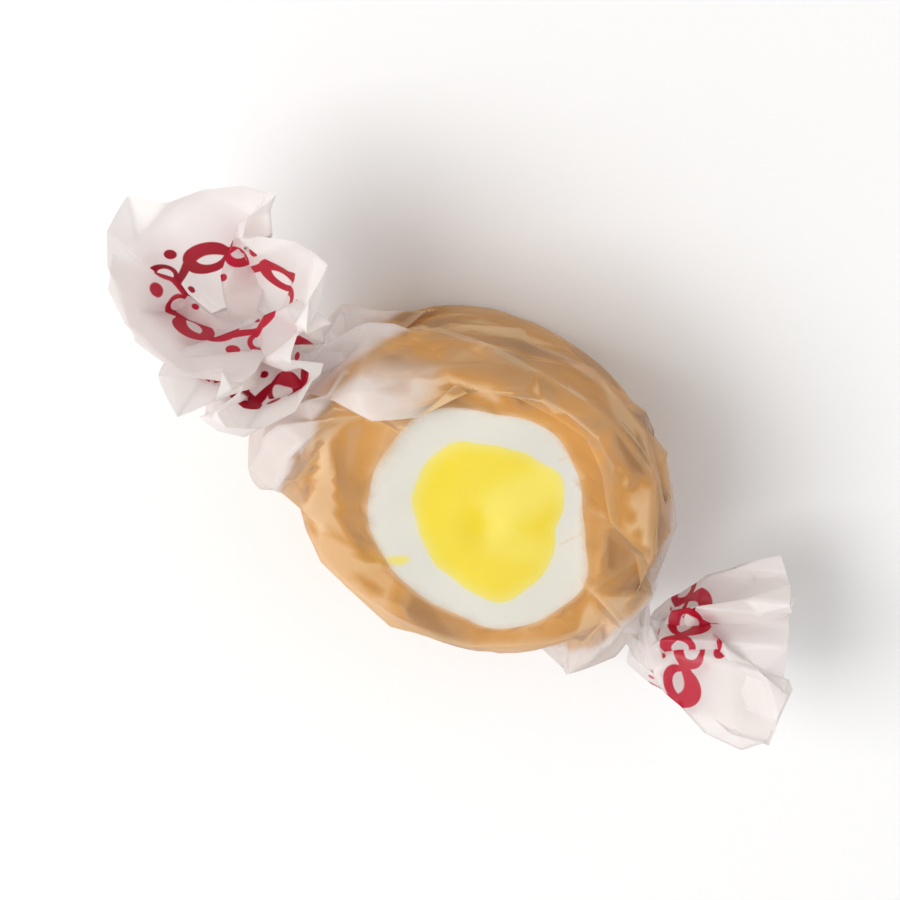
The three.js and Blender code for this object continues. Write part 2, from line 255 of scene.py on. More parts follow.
class CandySettings(bpy.types.PropertyGroup):
    half_length: FloatProperty(
        name="Half Length", description="Along the twists", default=0.0119, unit="LENGTH"
    )
    half_width: FloatProperty(
        name="Half Width", description="Across the twists", default=0.0102, unit="LENGTH"
    )
    skew: FloatProperty(name="Skew", description="Slope of the line through the slice's middle", default=0.1)
    squareness: FloatProperty(name="Squareness", description="2 is an ellipse", default=2.25)
    edge: FloatProperty(
        name="Cut Edge", description="Radius round each cut face", default=0.0012, unit="LENGTH"
    )
    caramel: FloatVectorProperty(
        name="Caramel", description="Colour of the skin", subtype="COLOR", default=(0.75, 0.395, 0.095)
    )
    white: FloatVectorProperty(
        name="White", description="Colour of the middle layer", subtype="COLOR", default=(0.71, 0.69, 0.62)
    )
    yellow: FloatVectorProperty(
        name="Yellow", description="Colour of the core", subtype="COLOR", default=(0.86, 0.69, 0.03)
    )


class PaperSettings(bpy.types.PropertyGroup):
    width: FloatProperty(
        name="Width", description="The sheet's side round the candy", default=0.092, unit="LENGTH"
    )
    length: FloatProperty(
        name="Length", description="The sheet's side along the twists", default=0.078, unit="LENGTH"
    )
    shift: FloatProperty(
        name="Shift", description="Of the sheet's middle to the left", default=0.003, unit="LENGTH"
    )
    slack: FloatProperty(
        name="Slack", description="Gap between candy and paper", default=0.00018, unit="LENGTH"
    )
    neck_x: FloatProperty(name="Neck Distance", description="From the middle", default=0.0158, unit="LENGTH")
    neck_radius: FloatProperty(name="Neck Radius", description="Of the twist", default=0.0019, unit="LENGTH")
    neck_side: FloatProperty(
        name="Neck Side", description="The necks' place across", default=-0.0018, unit="LENGTH"
    )
    twist: FloatProperty(
        name="Twist", description="Turn of each end", default=math.radians(150), subtype="ANGLE"
    )
    lap_from: FloatProperty(
        name="Lap Start", description="Place of the inner edge", default=math.radians(-20), subtype="ANGLE"
    )
    facet_steps: IntProperty(name="Facet Steps", description="Mesh steps along each facet's side", default=6)
    colour: FloatVectorProperty(
        name="Paper", description="Colour of the waxed paper", subtype="COLOR", default=(0.96, 0.925, 0.91)
    )
    print_colour: FloatVectorProperty(
        name="Print", description="Colour of the scrolls", subtype="COLOR", default=(0.47, 0.005, 0.03)
    )


class StageSettings(bpy.types.PropertyGroup):
    floor: FloatVectorProperty(
        name="Floor", description="Colour of the floor", subtype="COLOR", default=(0.97, 0.97, 0.97)
    )
    lens: FloatProperty(name="Lens", description="Focal length in millimetres", default=100.0)
    tilt: FloatProperty(
        name="Tilt", description="Camera's lean from above", default=math.radians(13), subtype="ANGLE"
    )
    across: FloatProperty(name="View Width", description="Width of the view", default=0.064, unit="LENGTH")


def ease(value):
    """0 below 0, 1 above 1, and smooth between."""
    share = np.clip(value, 0.0, 1.0)
    return share * share * (3 - 2 * share)


def mix(a, b, share):
    """a where share is 0, b where it is 1."""
    return a + (b - a) * share


def rounded_reach(angle, half_x, half_y, squareness):
    """Distance from the centre to the edge of a rounded oblong, towards an angle."""
    x = np.abs(np.cos(angle) / half_x) ** squareness
    y = np.abs(np.sin(angle) / half_y) ** squareness
    return (x + y) ** (-1 / squareness)


def smooth_ring(radii, angle):
    """Radius at an angle on the smooth closed line through radii at equal steps."""
    radii = np.asarray(radii)
    count = len(radii)
    place = (angle / TURN * count) % count
    base = np.floor(place).astype(int)
    t = place - base
    before, here, after, beyond = (radii[(base + k) % count] for k in (-1, 0, 1, 2))
    return 0.5 * (
        2 * here
        + (after - before) * t
        + (2 * before - 5 * here + 4 * after - beyond) * t**2
        + (3 * here - before - 3 * after + beyond) * t**3
    )


def along_line(x, y, start, stop):
    """Where a place lies by a line on the face: its share of the way along, how far it is to the left.

    The line's length comes with them. It works on arrays and on a material's values.
    """
    along_x, along_y = stop[0] - start[0], stop[1] - start[1]
    length = math.hypot(along_x, along_y)
    share = ((x - start[0]) * along_x + (y - start[1]) * along_y) / length**2
    aside = ((y - start[1]) * along_x - (x - start[0]) * along_y) / length
    return share, aside, length


# The paper's form


def valleys(end, angle, share, depth):
    """How far the gathered folds go inwards and sideways, at angles round a section.

    share runs from 0 where the paper leaves the candy, through 1 in the neck, to 2 at the fan's rim.
    """
    rng = np.random.default_rng(end["seed"])
    count = end["folds"]
    inward = np.zeros_like(angle)
    sideways = np.zeros_like(angle)
    away = float(ease(abs(share - 1) * 2.2))
    # In the neck the folds lie all round, and at the rim of a fan they can be gathered on one side
    over = mix(TURN, math.radians(end["folds_over"]), float(ease((share - 1) * 2)))
    pitch = over / count
    for fold in range(count):
        at = math.radians(end["folds_at"]) + pitch * (fold + 0.5 + rng.uniform(-0.3, 0.3)) - over / 2
        weight = rng.uniform(0.55, 1.0) * ease(share * (1.4 if fold % 2 else 2.4))
        side = rng.choice([-1, 1])
        # A fold points inwards in the neck, lies over to one side in the fan, and lies on top on the candy
        lying = side * mix(rng.uniform(0.1, 0.3), rng.uniform(1.1, 1.4), away)
        if share < 1:
            lying = side * mix(math.pi - abs(lying), abs(lying), float(ease((share - 0.45) / 0.4)))
        half_width = pitch * mix(0.5, 0.26 if share < 1 else 0.36, away)
        off = (angle - at + math.pi) % TURN - math.pi
        spike = np.clip(1 - np.abs(off) / half_width, 0, 1)
        inward += depth * weight * spike * math.cos(lying)
        sideways += depth * weight * spike * math.sin(lying)
    return inward, sideways


def flat_sides(end, angle):
    """Share by which flat panels draw a round section in, with a corner where two panels meet."""
    rng = np.random.default_rng(end["seed"] + 40)
    count = end["folds"]
    share = np.full_like(angle, 2.0)
    for side in range(count):
        facing = TURN * (side + rng.uniform(-0.3, 0.3)) / count
        along = np.cos(angle - facing)
        drawn_in = rng.uniform(0.84, 0.98) / np.maximum(along, 0.2)
        share = np.minimum(share, np.where(along > 0.2, drawn_in, 2.0))
    return share


def bulges(end, angle, share):
    """Lobes of slack paper that stand off between the candy and the neck."""
    out = np.zeros_like(angle)
    for at, width, height, start, stop in end["bulges"]:
        off = np.abs((angle - math.radians(at) + math.pi) % TURN - math.pi)
        inside = start < share < stop
        along = math.sin(math.pi * (share - start) / (stop - start)) if inside else 0.0
        out += height * along * ease(1 - off / math.radians(width))
    return out


def section(station, angle, end, depth):
    """Points of a closed section line about its centre, across and deep."""
    hull = rounded_reach(angle, station["across"], station["deep"], station["squareness"])
    hull = hull * mix(1.0, flat_sides(end, angle), ease((station["share"] - 0.3) * 1.5))
    hull = hull + bulges(end, angle, station["share"])
    inward, aside = valleys(end, angle, station["share"], depth)
    reach = np.maximum(hull - inward, 0.12 * hull)
    turned = angle + aside / np.maximum(reach, 0.35 * hull)
    return reach * np.cos(turned), reach * np.sin(turned)


def line_length(y, z):
    """Length of a line up to each of its points."""
    return np.concatenate([[0.0], np.cumsum(np.hypot(np.diff(y), np.diff(z)))])


def stations_towards(end, candy, paper):
    """Sections from the candy's middle to the fan's rim, with the paper's distance to each."""
    half_length = candy.half_length / MM
    slack = 0.3
    neck_x = paper.neck_x / MM
    neck_radius = paper.neck_radius / MM
    body_deep = (CANDY_TOP - CANDY_FLOOR) / 2 + slack
    plan_from = half_length - 3.4
    end_from = half_length - 0.8

    def across_at(x):
        share = min(1.0, x / (half_length + 0.1)) ** candy.squareness
        return candy.half_width / MM * (1 - share) ** (1 / candy.squareness) + slack

    stations = []
    for x in np.concatenate([np.linspace(0, plan_from, 12), np.linspace(plan_from, neck_x, 34)[1:]]):
        plan = float(np.clip((x - plan_from) / (neck_x - plan_from), 0, 1))
        wall = float(np.clip((x - end_from) / (neck_x - end_from), 0, 1))
        centre = (
            end["end"] * x,
            mix(candy.skew * end["end"] * x, paper.neck_side / MM, float(ease(plan * 1.1 - 0.1))),
            MIDDLE + end["neck_rise"] * float(ease(wall)),
        )
        stations.append(
            {
                "centre": centre,
                "lean": 0.0,
                "swing": 0.0,
                "across": mix(across_at(min(x, plan_from)), neck_radius, plan),
                "deep": mix(body_deep, neck_radius, wall**1.1),
                "squareness": mix(9.0, 2.0, float(ease(plan * 1.2 - 0.2))),
                "share": float(mix(0.45 * ease((x - 3.5) / 9.0), 1.0, wall)),
                "twist": paper.twist * 0.5 * float(ease(wall)),
            }
        )
    centre = np.array(stations[-1]["centre"])
    last = 0.0
    for share in np.linspace(0, 1, 30)[1:] ** 1.15:
        lean = math.radians(end["lean"]) * float(ease(share * end["turning"]))
        swing = math.radians(end["swing"]) * float(ease(share * 2))
        along = np.array(
            [end["end"] * math.cos(lean) * math.cos(swing), math.cos(lean) * math.sin(swing), math.sin(lean)]
        )
        centre = centre + along * (share - last) * end["length"]
        last = share
        opened = share ** end["opening"]
        stations.append(
            {
                "centre": tuple(centre),
                "lean": lean * end["end"],
                "swing": swing * end["end"],
                "across": mix(neck_radius, end["across"], opened),
                "deep": mix(neck_radius, end["deep"], opened),
                "squareness": 2.0,
                "share": 1.0 + share,
                "twist": paper.twist * mix(0.5, 1.0, float(ease(share * 2.6))),
            }
        )
    return stations


def placed(station, across, deep):
    """Section points turned by the twist, then carried to the section's plane."""
    c, s = math.cos(station["twist"]), math.sin(station["twist"])
    y, z = across * c - deep * s, across * s + deep * c
    points = np.stack([np.zeros_like(y), y, z], axis=-1)
    turn = Matrix.Rotation(station["swing"], 3, "Z") @ Matrix.Rotation(-station["lean"], 3, "Y")
    return points @ np.array(turn).T + np.array(station["centre"])


def gather_depth(station, angle, end, target):
    """How deep the folds go where they have to take up a length of paper."""
    low, high = 0.0, 12.0
    if line_length(*section(station, angle, end, 0.0))[-1] < target:
        for _ in range(22):
            depth = (low + high) / 2
            if line_length(*section(station, angle, end, depth))[-1] < target:
                low = depth
            else:
                high = depth
    return low


def paper_end(end, candy, paper, rows, steps):
    """Rows of points from the middle to one rim, how much each is gathered, and how far off the neck is."""
    # A line's points are a quarter of a degree apart, and four degrees where its length isn't needed
    angle = np.linspace(0, TURN, 1441)
    probe = np.linspace(0, TURN, 91)[:-1]
    width = paper.width / MM
    stations = stations_towards(end, candy, paper)
    # The paper's distance to each section, from the mean gap between sections
    distance = [0.0]
    rings = [placed(s, *section(s, probe, end, 0.0)) for s in stations]
    for before, after in zip(rings, rings[1:]):
        distance.append(distance[-1] + float(np.mean(np.linalg.norm(after - before, axis=-1))))
    neck_at = distance[[s["share"] >= 1 for s in stations].index(True)]
    lap_rows, lap_angles = zip(*end["lap"])
    made = []
    gathers = []
    keys = [k for k in stations[0] if k != "centre"]
    columns = np.linspace(0, 1, steps + 1)
    for row in rows:
        station = {k: float(np.interp(row, distance, [s[k] for s in stations])) for k in keys}
        station["centre"] = tuple(
            float(np.interp(row, distance, [s["centre"][axis] for s in stations])) for axis in range(3)
        )
        gather = mix(0.42, 1.0, float(ease(abs(row - neck_at) / 6.5)))
        lap_to = math.radians(np.interp(row, lap_rows, lap_angles))
        target = width * gather / (1 + (lap_to - paper.lap_from) / TURN)
        y, z = section(station, angle, end, gather_depth(station, angle, end, target))
        length = line_length(y, z)
        gathers.append(gather)
        # The sheet starts at the lap's inner edge and runs round once, then on over itself
        share_of = length / length[-1]
        start = float(np.interp(paper.lap_from % TURN, angle, share_of)) - 1
        stop = float(np.interp(lap_to, angle, share_of)) + 1
        share = mix(start, stop, columns)
        wrapped = share % 1.0
        across = np.interp(wrapped, share_of, y)
        deep = np.interp(wrapped, share_of, z)
        size = np.hypot(across, deep)
        # The outer ply starts a little further out, so that it lies over the inner one
        out = 0.38 * ease((share - (start + 1 - 0.07)) / 0.06)
        across, deep = across * (1 + out / size), deep * (1 + out / size)
        made.append(placed(station, across, deep))
    return np.array(made), np.array(gathers), neck_at


def candy_distance(points, candy):
    """Signed distance from the candy's rounded side and faces, and the way out."""
    half_x, half_y = candy.half_length / MM, candy.half_width / MM
    power = candy.squareness
    edge = candy.edge / MM
    x, z = points[..., 0], points[..., 2] - MIDDLE
    y = points[..., 1] - candy.skew * x
    radius = np.hypot(x, y) + 1e-9
    level = ((np.abs(x) / half_x) ** power + (np.abs(y) / half_y) ** power) ** (1 / power) + 1e-9
    side = np.stack(
        [
            np.sign(x) * (np.abs(x) / half_x) ** (power - 1) / half_x,
            np.sign(y) * (np.abs(y) / half_y) ** (power - 1) / half_y,
        ],
        axis=-1,
    )
    side[..., 0] -= candy.skew * side[..., 1]
    side /= np.linalg.norm(side, axis=-1, keepdims=True) + 1e-9
    radial = (x * side[..., 0] + y * side[..., 1]) / radius
    off_side = (radius - radius / level) * np.clip(radial, 0.5, 1) + edge
    off_face = np.abs(z) - (CANDY_TOP - CANDY_FLOOR) / 2 + edge
    a, b = np.maximum(off_side, 0), np.maximum(off_face, 0)
    corner = np.hypot(a, b)
    distance = corner + np.minimum(np.maximum(off_side, off_face), 0) - edge
    inside = corner < 1e-6
    a = np.where(inside, off_side > off_face, a / (corner + 1e-9))
    b = np.where(inside, off_side <= off_face, b / (corner + 1e-9))
    way = np.stack([side[..., 0] * a, side[..., 1] * a, np.sign(z) * b], axis=-1)
    return distance, way


def pull_together(points, rest, stiffness, axis, step, pull_only=False, softness=None):
    """One pass that brings neighbours step apart along an axis of the grid to their rest distance."""
    count = points.shape[axis]
    for start in range(2 * step):
        index = np.arange(start, count - step, 2 * step)
        near = np.take(points, index, axis=axis)
        far = np.take(points, index + step, axis=axis)
        way = far - near
        length = np.linalg.norm(way, axis=-1, keepdims=True) + 1e-9
        wanted = np.take(rest, index, axis=axis)[..., None]
        error = (length - wanted) / length
        if pull_only:
            error = np.minimum(error, 0)
        share = stiffness if softness is None else stiffness * np.take(softness, index, axis=axis)[..., None]
        move = 0.5 * share * error * way
        slots = [slice(None)] * 3
        slots[axis] = index
        points[tuple(slots)] = near + move
        slots[axis] = index + step
        points[tuple(slots)] = far - move


def pull_diagonals(points, rest, stiffness):
    """The same for both diagonals of each cell, which keeps the cells square."""
    for flip in (False, True):
        grid = points[:, ::-1] if flip else points
        wanted_all = rest[:, ::-1] if flip else rest
        for start_u in (0, 1):
            for start_v in (0, 1):
                near = grid[start_u:-1:2, start_v:-1:2]
                far = grid[start_u + 1 :: 2, start_v + 1 :: 2]
                wanted = wanted_all[start_u:-1:2, start_v:-1:2][: far.shape[0], : far.shape[1], None]
                near = near[: far.shape[0], : far.shape[1]]
                way = far - near
                length = np.linalg.norm(way, axis=-1, keepdims=True) + 1e-9
                move = 0.5 * stiffness * (length - wanted) / length * way
                near += move
                far -= move


def push_plies_apart(points, gap, skip):
    """Moves points of different plies apart where they are nearer than gap."""
    shape = points.shape
    flat = points.reshape(-1, 3)
    # Points are looked up by the cell they are in, numbered along rows that make up layers
    cell_row = 1024
    cell_layer = cell_row**2
    cells = np.floor(flat / gap).astype(np.int64) + cell_row // 2
    key = cells[:, 0] + cell_row * cells[:, 1] + cell_layer * cells[:, 2]
    order = np.argsort(key, kind="stable")
    ordered = key[order]
    columns = shape[1]
    offsets = [(0, 0, 0)]
    offsets += [(x, y, 1) for x in (-1, 0, 1) for y in (-1, 0, 1)]
    offsets += [(x, 1, 0) for x in (-1, 0, 1)] + [(1, 0, 0)]
    move = np.zeros_like(flat)
    weight = np.zeros(len(flat))
    for x, y, z in offsets:
        wanted = ordered + x + cell_row * y + cell_layer * z
        low = np.searchsorted(ordered, wanted, "left")
        high = np.searchsorted(ordered, wanted, "right")
        counts = high - low
        first = np.repeat(np.arange(len(ordered)), counts)
        begin = np.repeat(np.cumsum(counts) - counts, counts)
        second = np.arange(counts.sum()) - begin + np.repeat(low, counts)
        if (x, y, z) == (0, 0, 0):
            keep = second > first
            first, second = first[keep], second[keep]
        a, b = order[first], order[second]
        apart = np.abs(a // columns - b // columns) + np.abs(a % columns - b % columns) > skip
        a, b = a[apart], b[apart]
        way = flat[b] - flat[a]
        length = np.linalg.norm(way, axis=1)
        close = length < gap
        a, b, way, length = a[close], b[close], way[close], length[close]
        push = way * (0.5 * (gap - length) / (length + 1e-9))[:, None]
        for axis in range(3):
            move[:, axis] -= np.bincount(a, push[:, axis], len(flat))
            move[:, axis] += np.bincount(b, push[:, axis], len(flat))
        weight += np.bincount(a, minlength=len(flat)) + np.bincount(b, minlength=len(flat))
    flat += move / np.maximum(weight, 1)[:, None] * 0.8
    return flat.reshape(shape)


def soften(points, soft, rest, axis, step, limit):
    """Lets the paper bend more easily where it is sharply bent, as it has creased there."""
    span = np.linalg.norm(
        np.take(points, range(step, points.shape[axis]), axis=axis)
        - np.take(points, range(0, points.shape[axis] - step), axis=axis),
        axis=-1,
    )
    slots = [slice(None)] * 2
    slots[axis] = slice(0, -step)
    bent = 1 - span / (step * rest[tuple(slots)])
    soft[tuple(slots)] = np.minimum(soft[tuple(slots)], 1 - 0.95 * ease((bent - limit) / 0.08))


def relax_paper(points, sheet, candy, paper, settings):
    """Lets the gathered sheet settle, keeping its lengths, resisting bending, off the candy and floor."""
    shape = points.shape[:2]
    step_u, step_v = paper.width / MM / (shape[0] - 1), paper.length / MM / (shape[1] - 1)
    axes = (0, 1)
    rest = (np.broadcast_to(step_u * sheet["gather"][None, :], shape), np.full(shape, step_v))
    diagonal = np.sqrt(rest[0] ** 2 + rest[1] ** 2)
    unbent = [2 * rest[axis] * sheet["folds"][axis] for axis in axes]
    # How firmly each place resists bending within two steps, and within a panel
    panel = settings["panel"]
    soft = np.ones((2, *shape))
    panel_soft = np.ones((2, *shape))
    anchor = points.copy()
    for number in range(settings["rounds"]):
        if number % 40 == 0:
            for axis in axes:
                soften(points, soft[axis], rest[axis], axis, 2, 0.05)
                soften(points, panel_soft[axis], rest[axis], axis, panel, 0.09)
        for axis in axes:
            pull_together(points, rest[axis], settings["stretch"], axis, 1)
        pull_diagonals(points, diagonal, settings["shear"])
        for axis in axes:
            pull_together(points, unbent[axis], settings["bend"], axis, 2, True, soft[axis])
        if number % 2:
            for axis in axes:
                flat = panel * rest[axis]
                pull_together(points, flat, settings["bend"], axis, panel, True, panel_soft[axis])
        if number % settings["plies"] == 0:
            points[:] = push_plies_apart(points, settings["ply_gap"], 4)
        distance, way = candy_distance(points, candy)
        wanted = sheet["clearance"]
        push = np.maximum(wanted - distance, 0)
        cling = settings["cling"] * sheet["cling"] * np.clip(distance - wanted, 0, 1.0) * (distance < 2.2)
        points += way * (push - cling)[..., None]
        points[..., 2] = np.maximum(points[..., 2], 0.06)
        points += (anchor - points) * (settings["hold"] * sheet["held"])[..., None]
        points[:, sheet["neck_rows"]] = anchor[:, sheet["neck_rows"]]
    return points


def refine(grid):
    """Doubles a grid's steps both ways, with new points on smooth lines through the old ones."""
    for axis in (0, 1):
        grid = np.moveaxis(grid, axis, 0)
        padded = np.concatenate([2 * grid[:1] - grid[1:2], grid, 2 * grid[-1:] - grid[-2:-1]])
        between = (9 * (padded[1:-2] + padded[2:-1]) - padded[:-3] - padded[3:]) / 16
        fine = np.empty((2 * len(grid) - 1, *grid.shape[1:]))
        fine[0::2] = grid
        fine[1::2] = between
        grid = np.moveaxis(fine, 0, axis)
    return grid


def random_creases(count_u, count_v, width, length, seed, number, depth):
    """Straight handling creases, as shortened bending distances where a line crosses the sheet."""
    rng = np.random.default_rng(seed)
    u = np.linspace(0, width, count_u)[:, None]
    v = np.linspace(-length / 2, length / 2, count_v)[None, :]
    du, dv = width / (count_u - 1), length / (count_v - 1)
    fold_u = np.ones((count_u, count_v))
    fold_v = np.ones((count_u, count_v))
    for _ in range(number):
        at_u, at_v = rng.uniform(0, width), rng.normal(0, 1) * 2 + rng.choice([-1, 1]) * 14
        turn = rng.uniform(-0.9, 0.9)
        reach = rng.uniform(5, 14)
        strength = depth * rng.uniform(0.4, 1.0)
        across = -(u - at_u) * math.cos(turn) + (v - at_v) * math.sin(turn)
        along = (u - at_u) * math.sin(turn) + (v - at_v) * math.cos(turn)
        on = ease((reach - np.abs(along)) / 2)
        fold_u *= 1 - strength * on * (np.abs(across + du) < 0.5 * du)
        fold_v *= 1 - strength * on * abs(math.sin(turn)) * (np.abs(across + dv) < 0.5 * dv)
    return fold_u, fold_v


def sheet_ends(paper):
    """The sheet's two ends along the twists, from the candy's middle."""
    half = paper.length / MM / 2
    return -half - paper.shift / MM, half - paper.shift / MM


def paper_sheet(candy, paper):
    """The wrapped, settled and crumpled sheet: its points and faces, and values at the points."""
    coarse_round, coarse_along = SHEET_STEPS
    ends = sheet_ends(paper)
    steps_left = round(coarse_along * -ends[0] / (ends[1] - ends[0]))
    left_rows = np.linspace(0, -ends[0], steps_left + 1)
    right_rows = np.linspace(0, ends[1], coarse_along - steps_left + 1)
    left, left_gather, left_neck = paper_end(LEFT_END, candy, paper, left_rows, coarse_round)
    right, right_gather, right_neck = paper_end(RIGHT_END, candy, paper, right_rows, coarse_round)
    points = np.concatenate([left[::-1], right[1:]]).transpose(1, 0, 2).copy()
    gather = np.concatenate([left_gather[::-1], right_gather[1:]])
    for level, settings in enumerate(SETTLING):
        if level:
            points = refine(points)
        count_u, count_v = points.shape[:2]
        v = np.linspace(*ends, count_v)
        level_gather = np.interp(v, np.linspace(*ends, len(gather)), gather)
        neck_rows = np.where((np.abs(v + left_neck) < 0.5) | (np.abs(v - right_neck) < 0.5))[0]
        share = np.linspace(0, 1, count_u)[:, None] * np.ones((1, count_v))
        outer = ease((share - 0.80) / 0.05)
        beyond = np.abs(v)[None, :] * np.ones((count_u, 1))
        sheet = {
            "gather": level_gather,
            "neck_rows": neck_rows,
            # The twisted ends and the free edge over the face keep their places
            "held": mix(0.15, 1.0, ease((beyond - 10) / 4)) + 14 * (share > 0.985) * (beyond < 12),
            "clearance": paper.slack / MM + 0.3 * outer,
            "cling": (1 - 0.8 * ease((share - 0.93) / 0.05)) * (1 - ease((beyond - 10) / 4)),
            "folds": random_creases(
                count_u, count_v, paper.width / MM, paper.length / MM, seed=5, number=60, depth=0.12
            ),
        }
        points = relax_paper(points, sheet, candy, paper, settings)
    return crumple(points, candy, paper)


def crease_spots(sharpness, du, dv):
    """Grid indices of the corners of the paper's flat facets, which are close together along folds."""
    count_u, count_v = sharpness.shape
    rng = np.random.default_rng(21)
    order = np.argsort(-(sharpness + 0.12 * rng.random(sharpness.shape)), axis=None)
    free = np.ones((count_u, count_v), dtype=bool)
    spots = []

    def take(i, j, radius):
        spots.append((i, j))
        wide, long = math.ceil(radius / du), math.ceil(radius * FACET_STRETCH / dv)
        i0, i1 = max(0, i - wide), min(count_u, i + wide + 1)
        j0, j1 = max(0, j - long), min(count_v, j + long + 1)
        u = (np.arange(i0, i1) - i)[:, None] * du
        v = (np.arange(j0, j1) - j)[None, :] * dv / FACET_STRETCH
        free[i0:i1, j0:j1] &= u**2 + v**2 >= radius**2

    # The sheet's own edges come first, so that the facets fill it
    for j in list(range(0, count_v - 1, 6)) + [count_v - 1]:
        take(0, j, 1.0)
        take(count_u - 1, j, 1.0)
    for i in list(range(6, count_u - 3, 6)):
        take(i, 0, 1.0)
        take(i, count_v - 1, 1.0)
    for index in order:
        i, j = divmod(int(index), count_v)
        if free[i, j]:
            take(i, j, mix(3.6, 1.0, float(ease(sharpness[i, j] * 2.5))) * rng.uniform(0.85, 1.3))
    return np.array(spots)


def split_facets(spots, triangles, steps):
    """Each facet as a fan of small triangles that meet those of its neighbours along the crease.

    Gives the small triangles' corners as shares of the facets' corners, and where each is welded.
    """
    lattice = [(i, j, steps - i - j) for i in range(steps + 1) for j in range(steps + 1 - i)]
    number = {cell: index for index, cell in enumerate(lattice)}
    small = []
    for i, j, k in lattice:
        if k > 0:
            small.append((number[i, j, k], number[i + 1, j, k - 1], number[i, j + 1, k - 1]))
        if k > 1:
            small.append((number[i + 1, j, k - 1], number[i + 1, j + 1, k - 2], number[i, j + 1, k - 1]))
    shares = np.array(lattice) / steps
    places = np.einsum("lc,tcx->tlx", shares, spots[triangles])
    rounded = np.round(places.reshape(-1, 2), 5)
    _, first, weld = np.unique(rounded, axis=0, return_index=True, return_inverse=True)
    weld = weld.reshape(len(triangles), len(lattice))
    faces = weld[:, np.array(small)].reshape(-1, 3)
    return shares, places.reshape(-1, 2)[first], first, weld, faces


def sample(grid, u, v, at):
    """A fine grid's values at scattered places, straight between its points."""
    i = np.interp(at[:, 0], u, np.arange(len(u)))
    j = np.interp(at[:, 1], v, np.arange(len(v)))
    i0, j0 = np.clip(i.astype(int), 0, len(u) - 2), np.clip(j.astype(int), 0, len(v) - 2)
    a, b = (i - i0)[:, None], (j - j0)[:, None]
    low = mix(grid[i0, j0], grid[i0, j0 + 1], b)
    high = mix(grid[i0 + 1, j0], grid[i0 + 1, j0 + 1], b)
    return mix(low, high, a)


def crease_angles(at, triangles):
    """For each facet's three edges, how sharply it meets its neighbour, from 0 to 1."""
    corners = at[triangles]
    normals = np.cross(corners[:, 1] - corners[:, 0], corners[:, 2] - corners[:, 0])
    normals /= np.linalg.norm(normals, axis=1, keepdims=True) + 1e-9
    owners = {}
    for facet, triangle in enumerate(triangles):
        for corner in range(3):
            pair = tuple(sorted((triangle[(corner + 1) % 3], triangle[(corner + 2) % 3])))
            owners.setdefault(pair, []).append((facet, corner))
    sharp = np.zeros((len(triangles), 3))
    for sides in owners.values():
        if len(sides) == 2:
            (a, corner_a), (b, corner_b) = sides
            sharp[a, corner_a] = sharp[b, corner_b] = 1 - float(normals[a] @ normals[b])
    return np.clip(sharp * 1.2, 0, 1)


def sheet_normals(points):
    """The way out of the sheet at each point of its grid."""
    across = np.gradient(points, axis=0)
    along = np.gradient(points, axis=1)
    normals = np.cross(across, along)
    return normals / (np.linalg.norm(normals, axis=-1, keepdims=True) + 1e-9)


def bend_over(points, reach=3):
    """How far the sheet turns within a few steps of each point, from 0 for flat to 1 for folded back."""
    turn = np.zeros(points.shape[:2])
    for axis in (0, 1):
        moved = np.moveaxis(points, axis, 0)
        before = moved[reach:-reach] - moved[: -2 * reach]
        after = moved[2 * reach :] - moved[reach:-reach]
        cosine = np.sum(before * after, axis=-1)
        cosine /= np.linalg.norm(before, axis=-1) * np.linalg.norm(after, axis=-1) + 1e-9
        field = np.moveaxis(turn, axis, 0)
        field[reach:-reach] = np.maximum(field[reach:-reach], (1 - cosine) / 2)
    return turn


def slack_flap(places, width):
    """1 where the outer ply hangs slack between the candy and the left neck, by places on the sheet."""
    outer = ease((places[:, 0] / width - 0.95) / 0.03)
    return outer * ease((-places[:, 1] - 8.0) / 1.5) * ease((places[:, 1] + 15) / 3)


def painted_light_on_face(x, y, light_and_shade):
    """The painted light and shade at places on the face, with its painted dark and pale places and its
    folds.
    """
    for start, stop, radius, blur, value in PAINTED_PAPER_SHADE_AND_HIGHLIGHTS:
        share, aside, length = along_line(x, y, start, stop)
        away = np.hypot(aside, (share - np.clip(share, 0, 1)) * length)
        light_and_shade = mix(light_and_shade, value, 0.9 * (1 - ease((away - radius) / blur)))
    # Painted shade on each fold's steep side and a painted highlight on its gentle side
    for start, stop, _, _, _, strength in SKIN_FOLDS:
        share, aside, _ = along_line(x, y, start, stop)
        shown = strength * ease((share + 0.12) / 0.32) * ease((1.12 - share) / 0.32)
        left = ease((aside + 0.08) / 0.16)
        light_and_shade = light_and_shade * (1 - left * (1 - ease((aside - 0.05) / 0.55)) * shown)
        light_and_shade = mix(light_and_shade, 1.0, 0.8 * (1 - left) * ease((aside + 1.0) / 0.95) * shown)
    return light_and_shade


def raised_corners(at, normals, spots, width, candy, rng):
    """The corners of the facets, moved out of the smooth sheet."""
    distance, way = candy_distance(at, candy)
    near = distance < 1.2
    # The paper is taut over the middle of the faces, and looser towards the sides and the ends
    off_middle = np.hypot(at[:, 0] - LAYER_CENTRE[0], at[:, 1] - LAYER_CENTRE[1])
    size = mix(TAUT, LOOSE, ease((off_middle - 7.0) / 4.0))
    jitter = rng.uniform(-1, 1, len(at)) * size
    outward = np.where(near[:, None], way, normals)
    # Over the candy the paper can only stand off
    at = at + outward * np.where(near, np.maximum(jitter, -0.1) * 1.2, jitter * 0.8)[:, None]
    # The free edge of the outer ply is a little raised, with a small curl
    free_edge = ease((spots[:, 0] / width - 0.985) / 0.01) * (np.abs(spots[:, 1]) < 10)
    curl = 0.2 + 1.1 * np.exp(-(((spots[:, 1] + 7.7) / 1.6) ** 2))
    at = at + way * (free_edge * curl)[:, None]
    # Towards the left neck the outer ply stands off as a slack flap
    return at + way * (1.5 * slack_flap(spots, width))[:, None]


